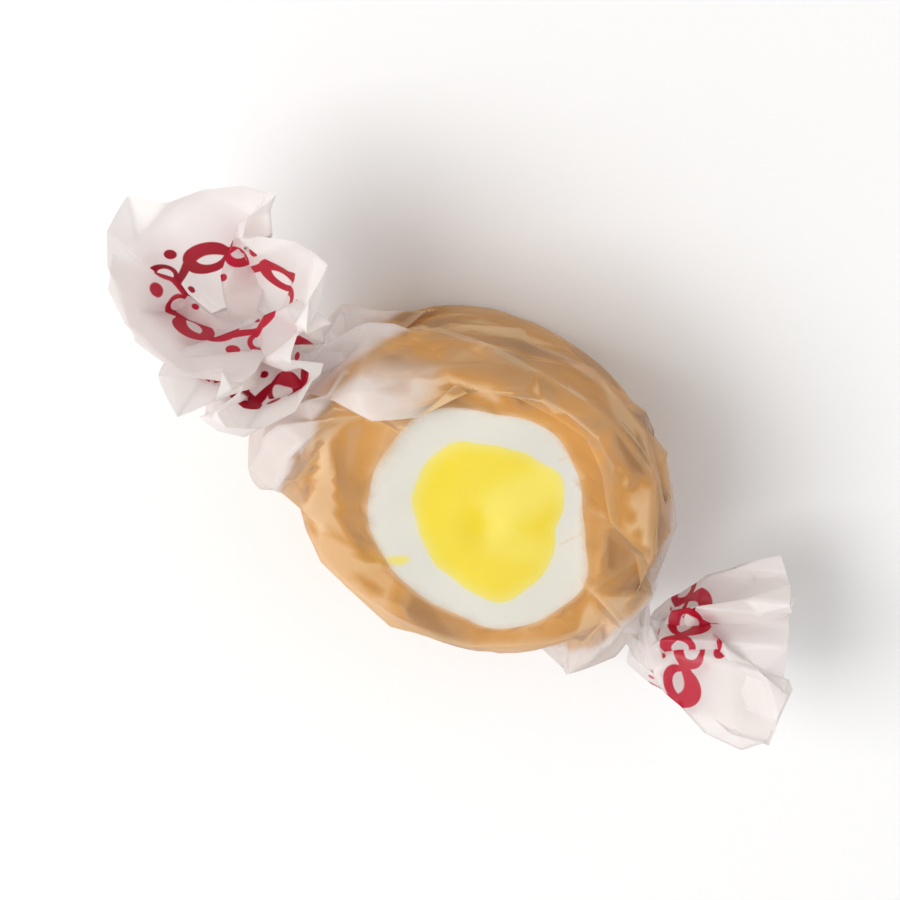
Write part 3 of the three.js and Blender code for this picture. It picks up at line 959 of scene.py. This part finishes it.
def laid_on_candy(sheet, candy, paper):
    """The sheet kept off the candy and the floor, and its distance from the candy."""
    distance, way = candy_distance(sheet, candy)
    # Round the lower rim the candy's dents come closest to the paper
    low = 1 - ease((sheet[:, 2] - CANDY_FLOOR - 1.5) / 1.5)
    sheet = sheet + way * np.maximum(paper.slack / MM + 0.25 * low - distance, 0)[:, None]
    # The paper follows the folds that it has pressed into the caramel
    on_top = ease((sheet[:, 2] - CANDY_TOP + 0.9) / 0.8) * (distance < 1.5)
    sheet[:, 2] += 0.8 * on_top * pressed_ridges(sheet[:, 0], sheet[:, 1])
    sheet[:, 2] = np.maximum(sheet[:, 2], FLOOR_GAP)
    return sheet, distance


def caramel_contact(sheet, distance):
    """1 where the sheet lies on the caramel, 0 over the white layer and where it stands off."""
    off_x, off_y = sheet[:, 0] - LAYER_CENTRE[0], sheet[:, 1] - LAYER_CENTRE[1]
    level = np.clip((sheet[:, 2] - CANDY_FLOOR) / (CANDY_TOP - CANDY_FLOOR), 0, 1)
    off_white = np.hypot(off_x, off_y) - layer_reach("white", np.arctan2(off_y, off_x), level)
    on_face = np.abs(sheet[:, 2] - MIDDLE) > (CANDY_TOP - CANDY_FLOOR) / 2 - 0.6
    # Near the face's middle the paper takes the caramel's tone even where it stands off a little
    reach = mix(2.0, 0.8, ease((np.abs(sheet[:, 0]) - 7.5) / 2.0))
    contact = np.where(on_face, ease((off_white + 0.15) / 0.7), 1.0)
    return contact * (1 - ease((distance - reach) / 1.2))


def crumple(points, candy, paper):
    """The settled sheet as flat facets between straight creases, as handled paper is."""
    width = paper.width / MM
    u, v = np.linspace(0, width, points.shape[0]), np.linspace(*sheet_ends(paper), points.shape[1])
    index = crease_spots(bend_over(points), u[1] - u[0], v[1] - v[0])
    spots = np.stack([u[index[:, 0]], v[index[:, 1]]], axis=-1)
    at = points[index[:, 0], index[:, 1]]
    normals = sheet_normals(points)[index[:, 0], index[:, 1]]
    rng = np.random.default_rng(31)
    at = raised_corners(at, normals, spots, width, candy, rng)

    stretched = [Vector((p[0], p[1] / FACET_STRETCH)) for p in spots]
    triangles = np.array(delaunay_2d_cdt(stretched, [], [], 0, 1e-6)[2])
    shares, places, first, weld, faces = split_facets(spots, triangles, paper.facet_steps)
    flat = np.einsum("lc,tcx->tlx", shares, at[triangles]).reshape(-1, 3)[first]
    smooth = sample(refine(points), refine_line(u), refine_line(v), places)
    sheet, distance = laid_on_candy(mix(smooth, flat, FLATNESS), candy, paper)
    count = np.bincount(weld.ravel(), minlength=len(places))

    def shared_out(values):
        """A value of each facet, as the mean of the facets that meet at each point."""
        return np.bincount(weld.ravel(), np.repeat(values, weld.shape[1]), len(places)) / count

    lift, _ = candy_distance(at, candy)
    patch = shared_out(lift[triangles].mean(axis=1) + rng.uniform(-0.5, 0.5, len(triangles)))
    # Painted light and shade: a random value for each facet, standing in for the light on its slope, and on
    # the upper face the painted shade and highlights of the folds
    light_and_shade = shared_out(rng.random(len(triangles)))
    light_and_shade = mix(light_and_shade, painted_light_on_face(sheet[:, 0], sheet[:, 1], light_and_shade), ease((sheet[:, 2] - MIDDLE) / 4))
    crease = np.zeros(len(places))
    on_edge = (shares < 1e-9)[None, :, :] * crease_angles(at, triangles)[:, None, :]
    np.maximum.at(crease, weld.ravel(), on_edge.max(axis=2).ravel())
    return {
        "points": sheet,
        "faces": faces,
        "places": places,
        "lift": distance,
        "patch": patch,
        "crease": crease,
        "light_and_shade": light_and_shade,
        "on_caramel": caramel_contact(sheet, distance),
        "flap": slack_flap(places, width),
    }


def refine_line(line):
    """Doubles the steps of equal places on a line."""
    return np.linspace(line[0], line[-1], 2 * len(line) - 1)


# Meshes


def new_piece(name, vertices, faces, smooth=True):
    """An object at the origin, from places in millimetres."""
    mesh = bpy.data.meshes.new(name)
    mesh.from_pydata([tuple(v) for v in np.asarray(vertices) * MM], [], faces)
    mesh.validate()
    if smooth:
        mesh.shade_smooth()
    piece = bpy.data.objects.new(name, mesh)
    bpy.context.scene.collection.objects.link(piece)
    return piece


def point_values(piece, name, values):
    """Stores a value at each point of a piece's mesh."""
    attribute = piece.data.attributes.new(name, "FLOAT", "POINT")
    attribute.data.foreach_set("value", np.asarray(values, dtype=np.float32).ravel())


def dress(piece, node, material):
    """Gives a piece its material, and its node and slot in the frame."""
    piece.data.materials.append(material)
    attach(piece, "root")
    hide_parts(node)


# Materials


class Value:
    """A socket's output that takes part in Python sums."""

    def __init__(self, finish, socket):
        self.finish = finish
        self.socket = socket

    def part(self, index):
        """Another output of the same node."""
        return Value(self.finish, self.socket.node.outputs[index])

    def __add__(self, other):
        return self.finish.maths("ADD", self, other)

    def __sub__(self, other):
        return self.finish.maths("SUBTRACT", self, other)

    def __rsub__(self, other):
        return self.finish.maths("SUBTRACT", other, self)

    def __mul__(self, other):
        return self.finish.maths("MULTIPLY", self, other)

    def __truediv__(self, other):
        return self.finish.maths("DIVIDE", self, other)

    __radd__ = __add__
    __rmul__ = __mul__


class Finish:
    """One Principled material and the nodes that feed it."""

    def __init__(self, name):
        self.material = bpy.data.materials.new(name)
        self.material.use_nodes = True
        self.tree = self.material.node_tree
        self.shader = self.tree.nodes["Principled BSDF"]

    def plug(self, socket, value):
        """Feeds an input, from another node or with a plain value."""
        if isinstance(value, Value):
            self.tree.links.new(value.socket, socket)
        else:
            socket.default_value = value

    def node(self, kind, settings=None, inputs=None, output=0):
        """A new node with its settings and inputs, given as one of its outputs."""
        node = self.tree.nodes.new(kind)
        for key, value in (settings or {}).items():
            setattr(node, key, value)
        for key, value in (inputs or {}).items():
            self.plug(node.inputs[key], value)
        return Value(self, node.outputs[output])

    def maths(self, operation, *values, clamp=False):
        """The result of one operation on values, kept within 0 and 1 if asked."""
        return self.node(
            "ShaderNodeMath", {"operation": operation, "use_clamp": clamp}, dict(enumerate(values))
        )

    def blend(self, share, first, second):
        """Colour between two colours."""
        return self.node("ShaderNodeMix", {"data_type": "RGBA"}, {0: share, 6: first, 7: second}, 2)

    def step(self, value, low, high):
        """0 below low, 1 above high, and smooth between."""
        return self.node(
            "ShaderNodeMapRange",
            {"interpolation_type": "SMOOTHSTEP"},
            {"Value": value, "From Min": low, "From Max": high},
        )

    def noise(self, scale, detail, roughness, place):
        """Soft random clouds, from 0 to 1."""
        inputs = {"Scale": scale, "Detail": detail, "Roughness": roughness, "Vector": place}
        return self.node("ShaderNodeTexNoise", None, inputs)

    def place(self):
        """The place on the piece, in metres."""
        return self.node("ShaderNodeTexCoord", None, None, "Object")

    def attribute(self, name):
        """A value stored at the mesh's points."""
        return self.node("ShaderNodeAttribute", {"attribute_name": name}, None, "Fac")

    def bump(self, height, strength, distance):
        """Small relief that only the light shows, with its depth in millimetres."""
        return self.node(
            "ShaderNodeBump", None, {"Height": height, "Strength": strength, "Distance": distance * MM}
        )

    def let_light_through(self, shown, share, colour):
        """Part of the surface scatters light to its far side, as thin paper does."""
        far = self.node("ShaderNodeBsdfTranslucent", None, {"Color": opaque(colour)})
        clear = self.node("ShaderNodeBsdfTransparent")
        thin = self.node("ShaderNodeMixShader", None, {0: shown, 1: clear, 2: far})
        near = Value(self, self.shader.outputs[0])
        whole = self.node("ShaderNodeMixShader", None, {0: share, 1: near, 2: thin})
        self.plug(self.tree.nodes["Material Output"].inputs["Surface"], whole)

    def feed(self, **values):
        """Sets the shader's inputs, named with _ for each space, and gives the material."""
        for key, value in values.items():
            self.plug(self.shader.inputs[key.replace("_", " ")], value)
        return self.material


def opaque(colour):
    """A colour with its fourth value."""
    return (*colour, 1.0)


def pressed_folds(finish, place):
    """Marks of the paper's folds: 0 along thin lines and 1 between them, and a random value for each patch,
    used as painted shade.
    """
    waves = finish.node("ShaderNodeTexNoise", None, {"Vector": place, "Scale": 110.0, "Detail": 1.0}, 1)
    bent = finish.node("ShaderNodeVectorMath", {"operation": "SCALE"}, {0: waves, "Scale": 0.005})
    moved = finish.node("ShaderNodeVectorMath", {"operation": "ADD"}, {0: place, 1: bent})
    inputs = {"Vector": moved, "Scale": 210.0}
    edge = finish.node("ShaderNodeTexVoronoi", {"feature": "DISTANCE_TO_EDGE"}, inputs)
    inputs = {**inputs, "Smoothness": 0.15}
    patch = finish.node("ShaderNodeTexVoronoi", {"feature": "SMOOTH_F1"}, inputs, "Color")
    return finish.step(edge, 0.0, 0.14), finish.node("ShaderNodeSeparateColor", None, {0: patch})


def smear(finish, x, y, start, stop, radius, blur):
    """1 along a short line on the face, fading out round it."""
    share, aside, length = along_line(x, y, start, stop)
    past = (share - finish.maths("ADD", share, 0.0, clamp=True)) * length
    away = finish.maths("SQRT", aside * aside + past * past)
    return 1 - finish.step(away, radius, radius + blur)


def fold_shade_and_highlight(finish, x, y, start, stop):
    """Painted shade in a strip along the left of a line on the face, and a painted highlight along its
    right.
    """
    share, aside, _ = along_line(x, y, start, stop)
    shown = finish.step(share, -0.12, 0.2) * (1 - finish.step(share, 0.8, 1.12))
    left = finish.step(aside, -0.08, 0.08)
    dark = left * (1 - finish.step(aside, 0.05, 0.6))
    light = (1 - left) * finish.step(aside, -1.0, -0.05)
    return dark * shown, light * shown


def taffy_finish(name, colour, shade, rim_tint_and_highlight, smears=(), fold_shade_colour=None, inner_tint=None):
    """Pulled candy: softly waxy, a little see-through, faintly streaked, with painted shade and highlights
    at pressed folds.
    """
    finish = Finish(name)
    place = finish.place()
    cloud = finish.noise(140.0, 3.0, 0.55, place)
    streak = finish.noise(600.0, 4.0, 0.6, place)
    base = finish.blend(finish.step(cloud, 0.3, 0.75), opaque(colour), opaque(shade))
    split = finish.node("ShaderNodeSeparateXYZ", None, {0: place})
    wobble = (streak - 0.5) * 1.2
    x = split.part(0) / MM + wobble
    y = split.part(1) / MM + wobble
    for start, stop, radius, blur, stain, strength in smears:
        base = finish.blend(smear(finish, x, y, start, stop, radius, blur) * strength, base, opaque(stain))
    base = finish.blend(finish.attribute("rim"), base, opaque(rim_tint_and_highlight))
    if inner_tint is not None:
        base = finish.blend(finish.attribute("inner"), base, opaque(inner_tint))
    height = cloud * 0.6 + streak * 0.4
    if fold_shade_colour is not None:
        ridge, facet = pressed_folds(finish, place)
        # Painted shade along the pressed folds' thin lines, and in some patches as if they faced away from
        # the light
        base = finish.blend((1 - ridge) * finish.step(cloud, 0.35, 0.6) * 0.35, base, opaque(fold_shade_colour))
        base = finish.blend(facet * 0.35, base, opaque(fold_shade_colour))
        # Painted shade in the side's pressed folds
        base = finish.blend(finish.attribute("fold"), base, opaque(fold_shade_colour))
        # Painted shade on each listed fold's steep side and a painted highlight on its gentle side
        for start, stop, _, _, _, strength in SKIN_FOLDS:
            dark, light = fold_shade_and_highlight(finish, x, y, start, stop)
            base = finish.blend(dark * strength, base, opaque(fold_shade_colour))
            base = finish.blend(light * strength * 0.7, base, opaque(rim_tint_and_highlight))
        height = height * 0.5 + ridge
    return finish.feed(
        Base_Color=base,
        Subsurface_Weight=0.12,
        Subsurface_Radius=(1.0, 0.6, 0.35),
        Subsurface_Scale=1.2 * MM,
        Specular_IOR_Level=0.4,
        Roughness=0.42 + 0.16 * streak,
        Normal=finish.bump(height, 0.35, 0.25),
    )


def scroll_print(finish, u, v):
    """A band of crescents, a wave and dots: 1 on the print, 0 off it. u and v are places on the sheet."""
    pitch = 9.0
    cell = finish.maths("WRAP", u, pitch, 0.0) - pitch / 2
    other = finish.maths("WRAP", u + 3.1, pitch * 0.5, 0.0) - pitch / 4

    def disc(a, b, at_a, at_b, radius):
        square_a = finish.maths("POWER", a - at_a, 2.0)
        square_b = finish.maths("POWER", b - at_b, 2.0)
        away = finish.maths("SQRT", square_a + square_b)
        return 1 - finish.step(away, radius - 0.08, radius + 0.08)

    ring = disc(cell, v, -2.2, 0.4, 2.3) * (1 - disc(cell, v, -1.8, 0.6, 1.35))
    inner = disc(cell, v, 1.7, -0.4, 1.8) * (1 - disc(cell, v, 2.0, -0.3, 0.95))
    swing = finish.maths("SINE", u * (TURN / pitch))
    line = finish.maths("ABSOLUTE", v - swing * 1.7)
    thick = 0.5 + 0.5 * finish.maths("ABSOLUTE", finish.maths("SINE", u * (math.pi / pitch) + 0.6))
    wave = 1 - finish.step(line / thick, 0.85, 1.15)
    dot = disc(cell, v, 3.7, 2.3, 0.7)
    small = disc(other, v, 0.2, -2.9, 0.4)
    mark = ring
    for shape in (inner, wave, dot, small):
        mark = finish.maths("MAXIMUM", mark, shape)
    return mark


def waxed_paper_finish(paper):
    """Waxed paper: clear where it touches the candy, milky where it stands off, white along creases, with
    painted light.
    """
    finish = Finish("waxed_paper")
    sheet = finish.node("ShaderNodeUVMap", {"uv_map": "sheet"})
    split = finish.node("ShaderNodeSeparateXYZ", None, {0: sheet})
    u = split.part(0) * UV_SPAN
    v = split.part(1) * UV_SPAN - UV_SPAN / 2
    lift = finish.attribute("lift")
    crease = finish.attribute("crease")
    place = finish.place()
    cloud = finish.noise(320.0, 2.0, 0.55, place)
    far = finish.maths("ABSOLUTE", v)
    gathered = finish.step(far, 11.0, 19.0) * 0.28 + finish.step(v * -1.0, 9.5, 12.0) * 0.16
    patch = finish.attribute("patch")
    border = 1 - finish.step(finish.maths("MINIMUM", u, paper.width / MM - u), 0.12, 0.3)
    light_and_shade = finish.attribute("light_and_shade")
    stained = finish.attribute("on_caramel")
    milky = finish.step(lift * 0.4 + patch * 0.6 + (cloud - 0.5) * 0.3, 1.0, 2.2)
    milky = milky * (0.5 + finish.step(far, 6.0, 10.0) * 0.5) * (1 - stained * 0.6)
    alpha = 0.04 + milky * 0.58 + gathered + (cloud - 0.5) * 0.06 + border * 0.3
    flap = finish.attribute("flap")
    # Creases are whiter, partly as the wax whitens there and partly as a painted highlight
    alpha = alpha + finish.maths("POWER", crease, 2.0) * 0.45 + flap * (0.2 + cloud * 0.3)
    band = finish.maths("ABSOLUTE", v + paper.shift / MM) - BAND_PLACE
    mark = scroll_print(finish, u / PRINT_SCALE, band / PRINT_SCALE)
    mark = mark * (1 - finish.step(finish.maths("ABSOLUTE", band), BAND_HALF - 0.1, BAND_HALF + 0.1))
    # On the caramel the paper takes its colour, with painted shade and highlights that differ in each facet
    painted_light_strength = finish.maths("ABSOLUTE", light_and_shade - 0.5) * 2.0
    stain = finish.blend(finish.step(light_and_shade, 0.0, 0.25), opaque(PAINTED_FOLD_SHADE), opaque(PAINTED_SOFT_SHADE))
    stain = finish.blend(finish.step(light_and_shade, 0.25, 0.5), stain, opaque(PLAIN_STAIN))
    stain = finish.blend(finish.step(light_and_shade, 0.6, 1.0), stain, opaque(PAINTED_HIGHLIGHT_ON_CARAMEL))
    stain = finish.blend(finish.maths("POWER", crease, 1.5) * 0.7, stain, opaque(CREASE_WHITENING_AND_HIGHLIGHT))
    body = finish.blend(finish.step(stained, 0.05, 0.6) * (1 - flap * 0.8), opaque(paper.colour), stain)
    colour = finish.blend(mark, body, opaque(paper.print_colour))
    # Where the painted shade or highlight is strong, the paper is more opaque
    alpha = alpha + stained * (0.55 + painted_light_strength * 0.35)
    shown = finish.maths("MAXIMUM", alpha, mark * 0.94, clamp=True)
    finish.let_light_through(shown, 0.45 * (1 - mark), paper.colour)
    return finish.feed(
        Base_Color=colour,
        # A faint glow over the paper, which is painted light: it brightens the paper as scattered light
        # would
        Emission_Color=colour,
        Emission_Strength=0.06,
        Specular_IOR_Level=0.45,
        Alpha=shown,
        Roughness=0.36 + 0.12 * cloud,
        Normal=finish.bump(cloud, 0.25, 0.08),
    )


# Pieces


def layer_reach(layer, angle, height):
    """Distance from the layers' centre to a layer's outline, a little ragged, at a share of the height."""
    radii = LAYER_RADII[layer]
    turned = angle + LAYER_DRIFT * (1 - height)
    ragged = 0.07 * np.sin(7 * turned + 1.7) + 0.04 * np.sin(13 * turned + radii[0])
    return smooth_ring(radii, turned) + ragged


def face_relief(x, y):
    """Gentle hills and a dimple on a cut face, in millimetres."""
    hills = 0.12 * np.sin(0.5 * x + 0.9) * np.cos(0.42 * y - 0.4) + 0.06 * np.sin(1.1 * x - 0.7 * y)
    dimple = -0.3 * np.exp(-((x - 1.0) ** 2 + (y + 0.9) ** 2) / 1.6)
    return hills + dimple - 0.12


def pressed_ridges(x, y):
    """Height of the pressed folds on the face."""
    height = np.zeros_like(x)
    for start, stop, rise, steep, gentle, _ in SKIN_FOLDS:
        share, aside, _ = along_line(x, y, start, stop)
        # A fold isn't quite straight, and is highest near its middle
        aside = aside + 0.25 * np.sin(5 * share)
        fade = ease(share * 4 + 0.6) * ease((1 - share) * 4 + 0.6)
        profile = np.where(aside > 0, np.exp(-np.abs(aside) / steep), np.exp(-np.abs(aside) / gentle))
        height = np.maximum(height, rise * fade * profile)
    return height


def wall_fold(angle, height):
    """0 in the side's pressed folds, which run up it at a slant, and 1 between them."""
    return np.abs(np.sin(2.5 * angle + 1.5 * height + 0.7 * np.sin(4 * angle)))


def skin_reach(angle, height, candy):
    """The candy's outside, with soft dents round and up its side."""
    swell = -0.1 * (1 - np.sin(np.pi * height))
    dents = 0.16 * np.sin(3 * angle + 1.1) * np.sin(2.2 * height + 0.5)
    dents = dents + 0.12 * np.sin(5 * angle + 4 * height) + 0.05 * np.sin(11 * angle - 7 * height)
    dents = dents - 0.4 * (1 - wall_fold(angle, height)) ** 4
    reach = rounded_reach(angle, candy.half_length / MM, candy.half_width / MM, candy.squareness)
    return reach + swell + (dents - 0.2) * np.sin(np.pi * height)


def wall_shade(angle, level):
    """Painted shade along the side's pressed folds: how dark the side is there."""
    return 0.6 * (1 - wall_fold(angle, level)) ** 4 * math.sin(math.pi * level)


def layer_edge(layer, angle, level, candy):
    """Places round a layer's edge at a share of the height. No layer gives the middle of them all."""
    if layer == "skin":
        reach = skin_reach(angle, level, candy)
        x = reach * np.cos(angle)
        return x, reach * np.sin(angle) + candy.skew * x
    reach = layer_reach(layer, angle, level) if layer else np.zeros_like(angle)
    return LAYER_CENTRE[0] + reach * np.cos(angle), LAYER_CENTRE[1] + reach * np.sin(angle)


def face_rings(inner, outer, angle, shares, upper, candy):
    """Rings of points on a cut face, at shares of the way from a layer's inner edge to its outer edge."""
    skin = outer == "skin"
    edge = candy.edge / MM
    x0, y0 = layer_edge(inner, angle, float(upper), candy)
    x1, y1 = layer_edge(outer, angle, float(upper), candy)
    rings = []
    for share in shares:
        x, y = mix(x0, x1, share), mix(y0, y1, share)
        relief = face_relief(x, y)
        fall = 0.0
        if skin:
            # The outer edge is rounded, and the folds fade out towards the white layer, which lies level
            near = np.maximum(0, edge - np.hypot(x1 - x0, y1 - y0) * (1 - share))
            fall = edge - np.sqrt(np.maximum(edge**2 - near**2, 0))
            relief = relief + (pressed_ridges(x, y) - 0.35) * float(ease(share * 3.0))
        z = CANDY_TOP + relief - fall if upper else CANDY_FLOOR - relief * 0.3 + fall
        rings.append(np.stack([x, y, z], axis=-1))
    return rings


def ring_faces(rings, steps, closed):
    """Faces between each ring of points and the next, and between the last and the first if closed."""
    faces = []
    for ring in range(rings if closed else rings - 1):
        a, b = ring * steps, (ring + 1) % rings * steps
        for step in range(steps):
            after = (step + 1) % steps
            faces.append((a + step, a + after, b + after, b + step))
    return faces


def layer_piece(name, candy, inner, outer):
    """A layer that runs through the candy: rings on the lower face, up the outer wall, over the upper face.

    Gives the piece, and how near to its outer edge each point is.
    """
    steps = CANDY_STEPS
    angle = np.linspace(0, TURN, steps + 1)[:-1]
    skin = outer == "skin"
    inset = candy.edge / MM if skin else 0.0
    # The skin's rings are closer together towards its edge
    shares = 1 - (1 - np.linspace(0, 1, 30)) ** 1.6 if skin else np.linspace(0, 1, 12)
    if inner is None:
        shares = shares[1:]
    levels = np.linspace(0, 1, WALL_LEVELS)[1:-1]
    wall = []
    for level in levels:
        x, y = layer_edge(outer, angle, level, candy)
        z = np.full_like(angle, mix(CANDY_FLOOR + inset, CANDY_TOP - inset, level))
        wall.append(np.stack([x, y, z], axis=-1))
    lower = face_rings(inner, outer, angle, shares, False, candy)
    upper = face_rings(inner, outer, angle, shares[::-1], True, candy)
    rings = [*lower, *wall, *upper]
    rims = np.repeat([*shares, *np.ones(len(levels)), *shares[::-1]], steps)
    vertices = np.concatenate(rings)
    faces = ring_faces(len(rings), steps, inner is not None)
    if inner is None:
        # A point in the middle closes each face
        for ring, flip in ((0, True), (len(rings) - 1, False)):
            centre = len(vertices)
            vertices = np.concatenate([vertices, [rings[ring].mean(axis=0)]])
            rims = np.append(rims, 0.0)
            for step in range(steps):
                pair = (ring * steps + step, ring * steps + (step + 1) % steps)
                faces.append((centre, *(pair[::-1] if flip else pair)))
    piece = new_piece(name, vertices, faces)
    piece.data.set_sharp_from_angle(angle=math.radians(50))
    if skin:
        # The side's painted shade along its pressed folds
        flat = np.zeros(len(shares) * steps)
        shades = [wall_shade(angle, level) for level in levels]
        point_values(piece, "fold", np.concatenate([flat, *shades, flat]))
    return piece, rims


def aimed(name, data, place, turn):
    """A lamp or a camera at a place, in metres, turned to what it aims at."""
    thing = bpy.data.objects.new(name, data)
    thing.location = place
    thing.rotation_mode = "QUATERNION"
    thing.rotation_quaternion = turn
    bpy.context.scene.collection.objects.link(thing)
    return thing


class TAFFY_OT_layers(bpy.types.Operator):
    """Make the yellow core, the white layer and the caramel skin"""

    bl_idname = "taffy.layers"
    bl_label = "Candy Layers"

    def execute(self, context):
        candy = context.scene.taffy_candy
        core, rim = layer_piece("core_of_yellow_taffy", candy, None, "yellow")
        point_values(core, "rim", ease((rim - 0.86) / 0.14) * 0.5)
        dress(
            core,
            "yellow_core",
            taffy_finish(
                "yellow_taffy",
                candy.yellow,
                shade=(0.84, 0.64, 0.02),
                rim_tint_and_highlight=(0.88, 0.8, 0.3),
                smears=YELLOW_SMEARS,
            ),
        )
        white, rim = layer_piece("layer_of_white_taffy", candy, "yellow", "white")
        point_values(white, "rim", ease((rim - 0.85) / 0.15) * 0.45)
        point_values(white, "inner", ease((0.14 - rim) / 0.14) * 0.5)
        dress(
            white,
            "white_layer",
            taffy_finish(
                "white_taffy",
                candy.white,
                shade=(0.75, 0.72, 0.63),
                rim_tint_and_highlight=(0.82, 0.62, 0.4),
                smears=WHITE_SMEARS,
                inner_tint=(0.84, 0.78, 0.36),
            ),
        )
        skin, rim = layer_piece("skin_of_caramel_taffy", candy, "white", "skin")
        point_values(skin, "rim", ease((0.14 - rim) / 0.14) * 0.5)
        dress(
            skin,
            "caramel_skin",
            taffy_finish(
                "caramel_taffy",
                candy.caramel,
                shade=(0.6, 0.285, 0.065),
                rim_tint_and_highlight=(0.86, 0.58, 0.3),
                smears=CARAMEL_SMEARS,
                fold_shade_colour=(0.33, 0.13, 0.03),
            ),
        )
        return {"FINISHED"}


class TAFFY_OT_wrapper(bpy.types.Operator):
    """Wind the waxed paper round the candy and twist its ends"""

    bl_idname = "taffy.wrapper"
    bl_label = "Wrapper"

    def execute(self, context):
        candy, paper = context.scene.taffy_candy, context.scene.taffy_paper
        sheet = paper_sheet(candy, paper)
        wrapper = new_piece("waxed_paper_wrapper", sheet["points"], sheet["faces"].tolist())
        for name in ("lift", "patch", "crease", "on_caramel", "light_and_shade", "flap"):
            point_values(wrapper, name, sheet[name])
        uv = sheet["places"] / UV_SPAN + (0.0, 0.5)
        layer = wrapper.data.uv_layers.new(name="sheet")
        corners = np.empty(len(wrapper.data.loops), dtype=np.int32)
        wrapper.data.loops.foreach_get("vertex_index", corners)
        layer.data.foreach_set("uv", uv[corners].astype(np.float32).ravel())
        dress(wrapper, "wrapper", waxed_paper_finish(paper))
        return {"FINISHED"}


class TAFFY_OT_stage(bpy.types.Operator):
    """Add the floor, the lights and the camera"""

    bl_idname = "taffy.stage"
    bl_label = "Stage"

    def execute(self, context):
        scene = context.scene
        stage = scene.taffy_stage
        reach = FLOOR_REACH
        corners = [(-reach, -reach, 0), (reach, -reach, 0), (reach, reach, 0), (-reach, reach, 0)]
        floor = new_piece("floor", corners, [(0, 1, 2, 3)], smooth=False)
        finish = Finish("pale_floor")
        floor.data.materials.append(finish.feed(Base_Color=opaque(stage.floor), Roughness=0.8))

        world = bpy.data.worlds.new("studio")
        world.use_nodes = True
        background = world.node_tree.nodes["Background"]
        background.inputs["Color"].default_value = SKY
        background.inputs["Strength"].default_value = SKY_STRENGTH
        scene.world = world

        above = Vector((0, 0, 1))
        back = above * math.cos(stage.tilt) + IMAGE_UP * math.sin(stage.tilt)
        for name, (along, upwards, high), size, power in LAMPS:
            place = IMAGE_RIGHT * along + IMAGE_UP * upwards + above * high
            light = bpy.data.lights.new(name, "AREA")
            light.shape = "SQUARE"
            light.size = size
            light.energy = power
            aimed(name, light, place, (AIM - place).to_track_quat("-Z", "Y"))

        camera = bpy.data.cameras.new("camera")
        camera.lens = stage.lens
        camera.sensor_width = SENSOR_WIDTH
        camera.clip_start, camera.clip_end = 0.01, 10.0
        place = AIM + back * (stage.across * stage.lens / SENSOR_WIDTH)
        screen_up = IMAGE_UP * math.cos(stage.tilt) - above * math.sin(stage.tilt)
        turn = Matrix((IMAGE_RIGHT, screen_up, back)).transposed()
        scene.camera = aimed("camera", camera, place, turn.to_quaternion())
        scene.view_settings.view_transform = "Standard"
        return {"FINISHED"}


class TAFFY_PT_panel(bpy.types.Panel):
    bl_idname = "TAFFY_PT_panel"
    bl_label = "Wrapped Taffy"
    bl_space_type = "VIEW_3D"
    bl_region_type = "UI"
    bl_category = "Taffy"

    def draw(self, context):
        for group in ("taffy_candy", "taffy_paper", "taffy_stage"):
            settings = getattr(context.scene, group)
            box = self.layout.box()
            for name in settings.__annotations__:
                box.prop(settings, name)
        for operator in (TAFFY_OT_layers, TAFFY_OT_wrapper, TAFFY_OT_stage):
            self.layout.operator(operator.bl_idname)


CLASSES = (
    CandySettings,
    PaperSettings,
    StageSettings,
    TAFFY_OT_layers,
    TAFFY_OT_wrapper,
    TAFFY_OT_stage,
    TAFFY_PT_panel,
)


def register():
    for one in CLASSES:
        bpy.utils.register_class(one)
    bpy.types.Scene.taffy_candy = PointerProperty(type=CandySettings)
    bpy.types.Scene.taffy_paper = PointerProperty(type=PaperSettings)
    bpy.types.Scene.taffy_stage = PointerProperty(type=StageSettings)


def unregister():
    for name in ("taffy_candy", "taffy_paper", "taffy_stage"):
        delattr(bpy.types.Scene, name)
    for one in reversed(CLASSES):
        bpy.utils.unregister_class(one)


def main():
    register()
    bpy.ops.taffy.layers()
    bpy.ops.taffy.wrapper()
    bpy.ops.taffy.stage()


if __name__ == "__main__":
    main()
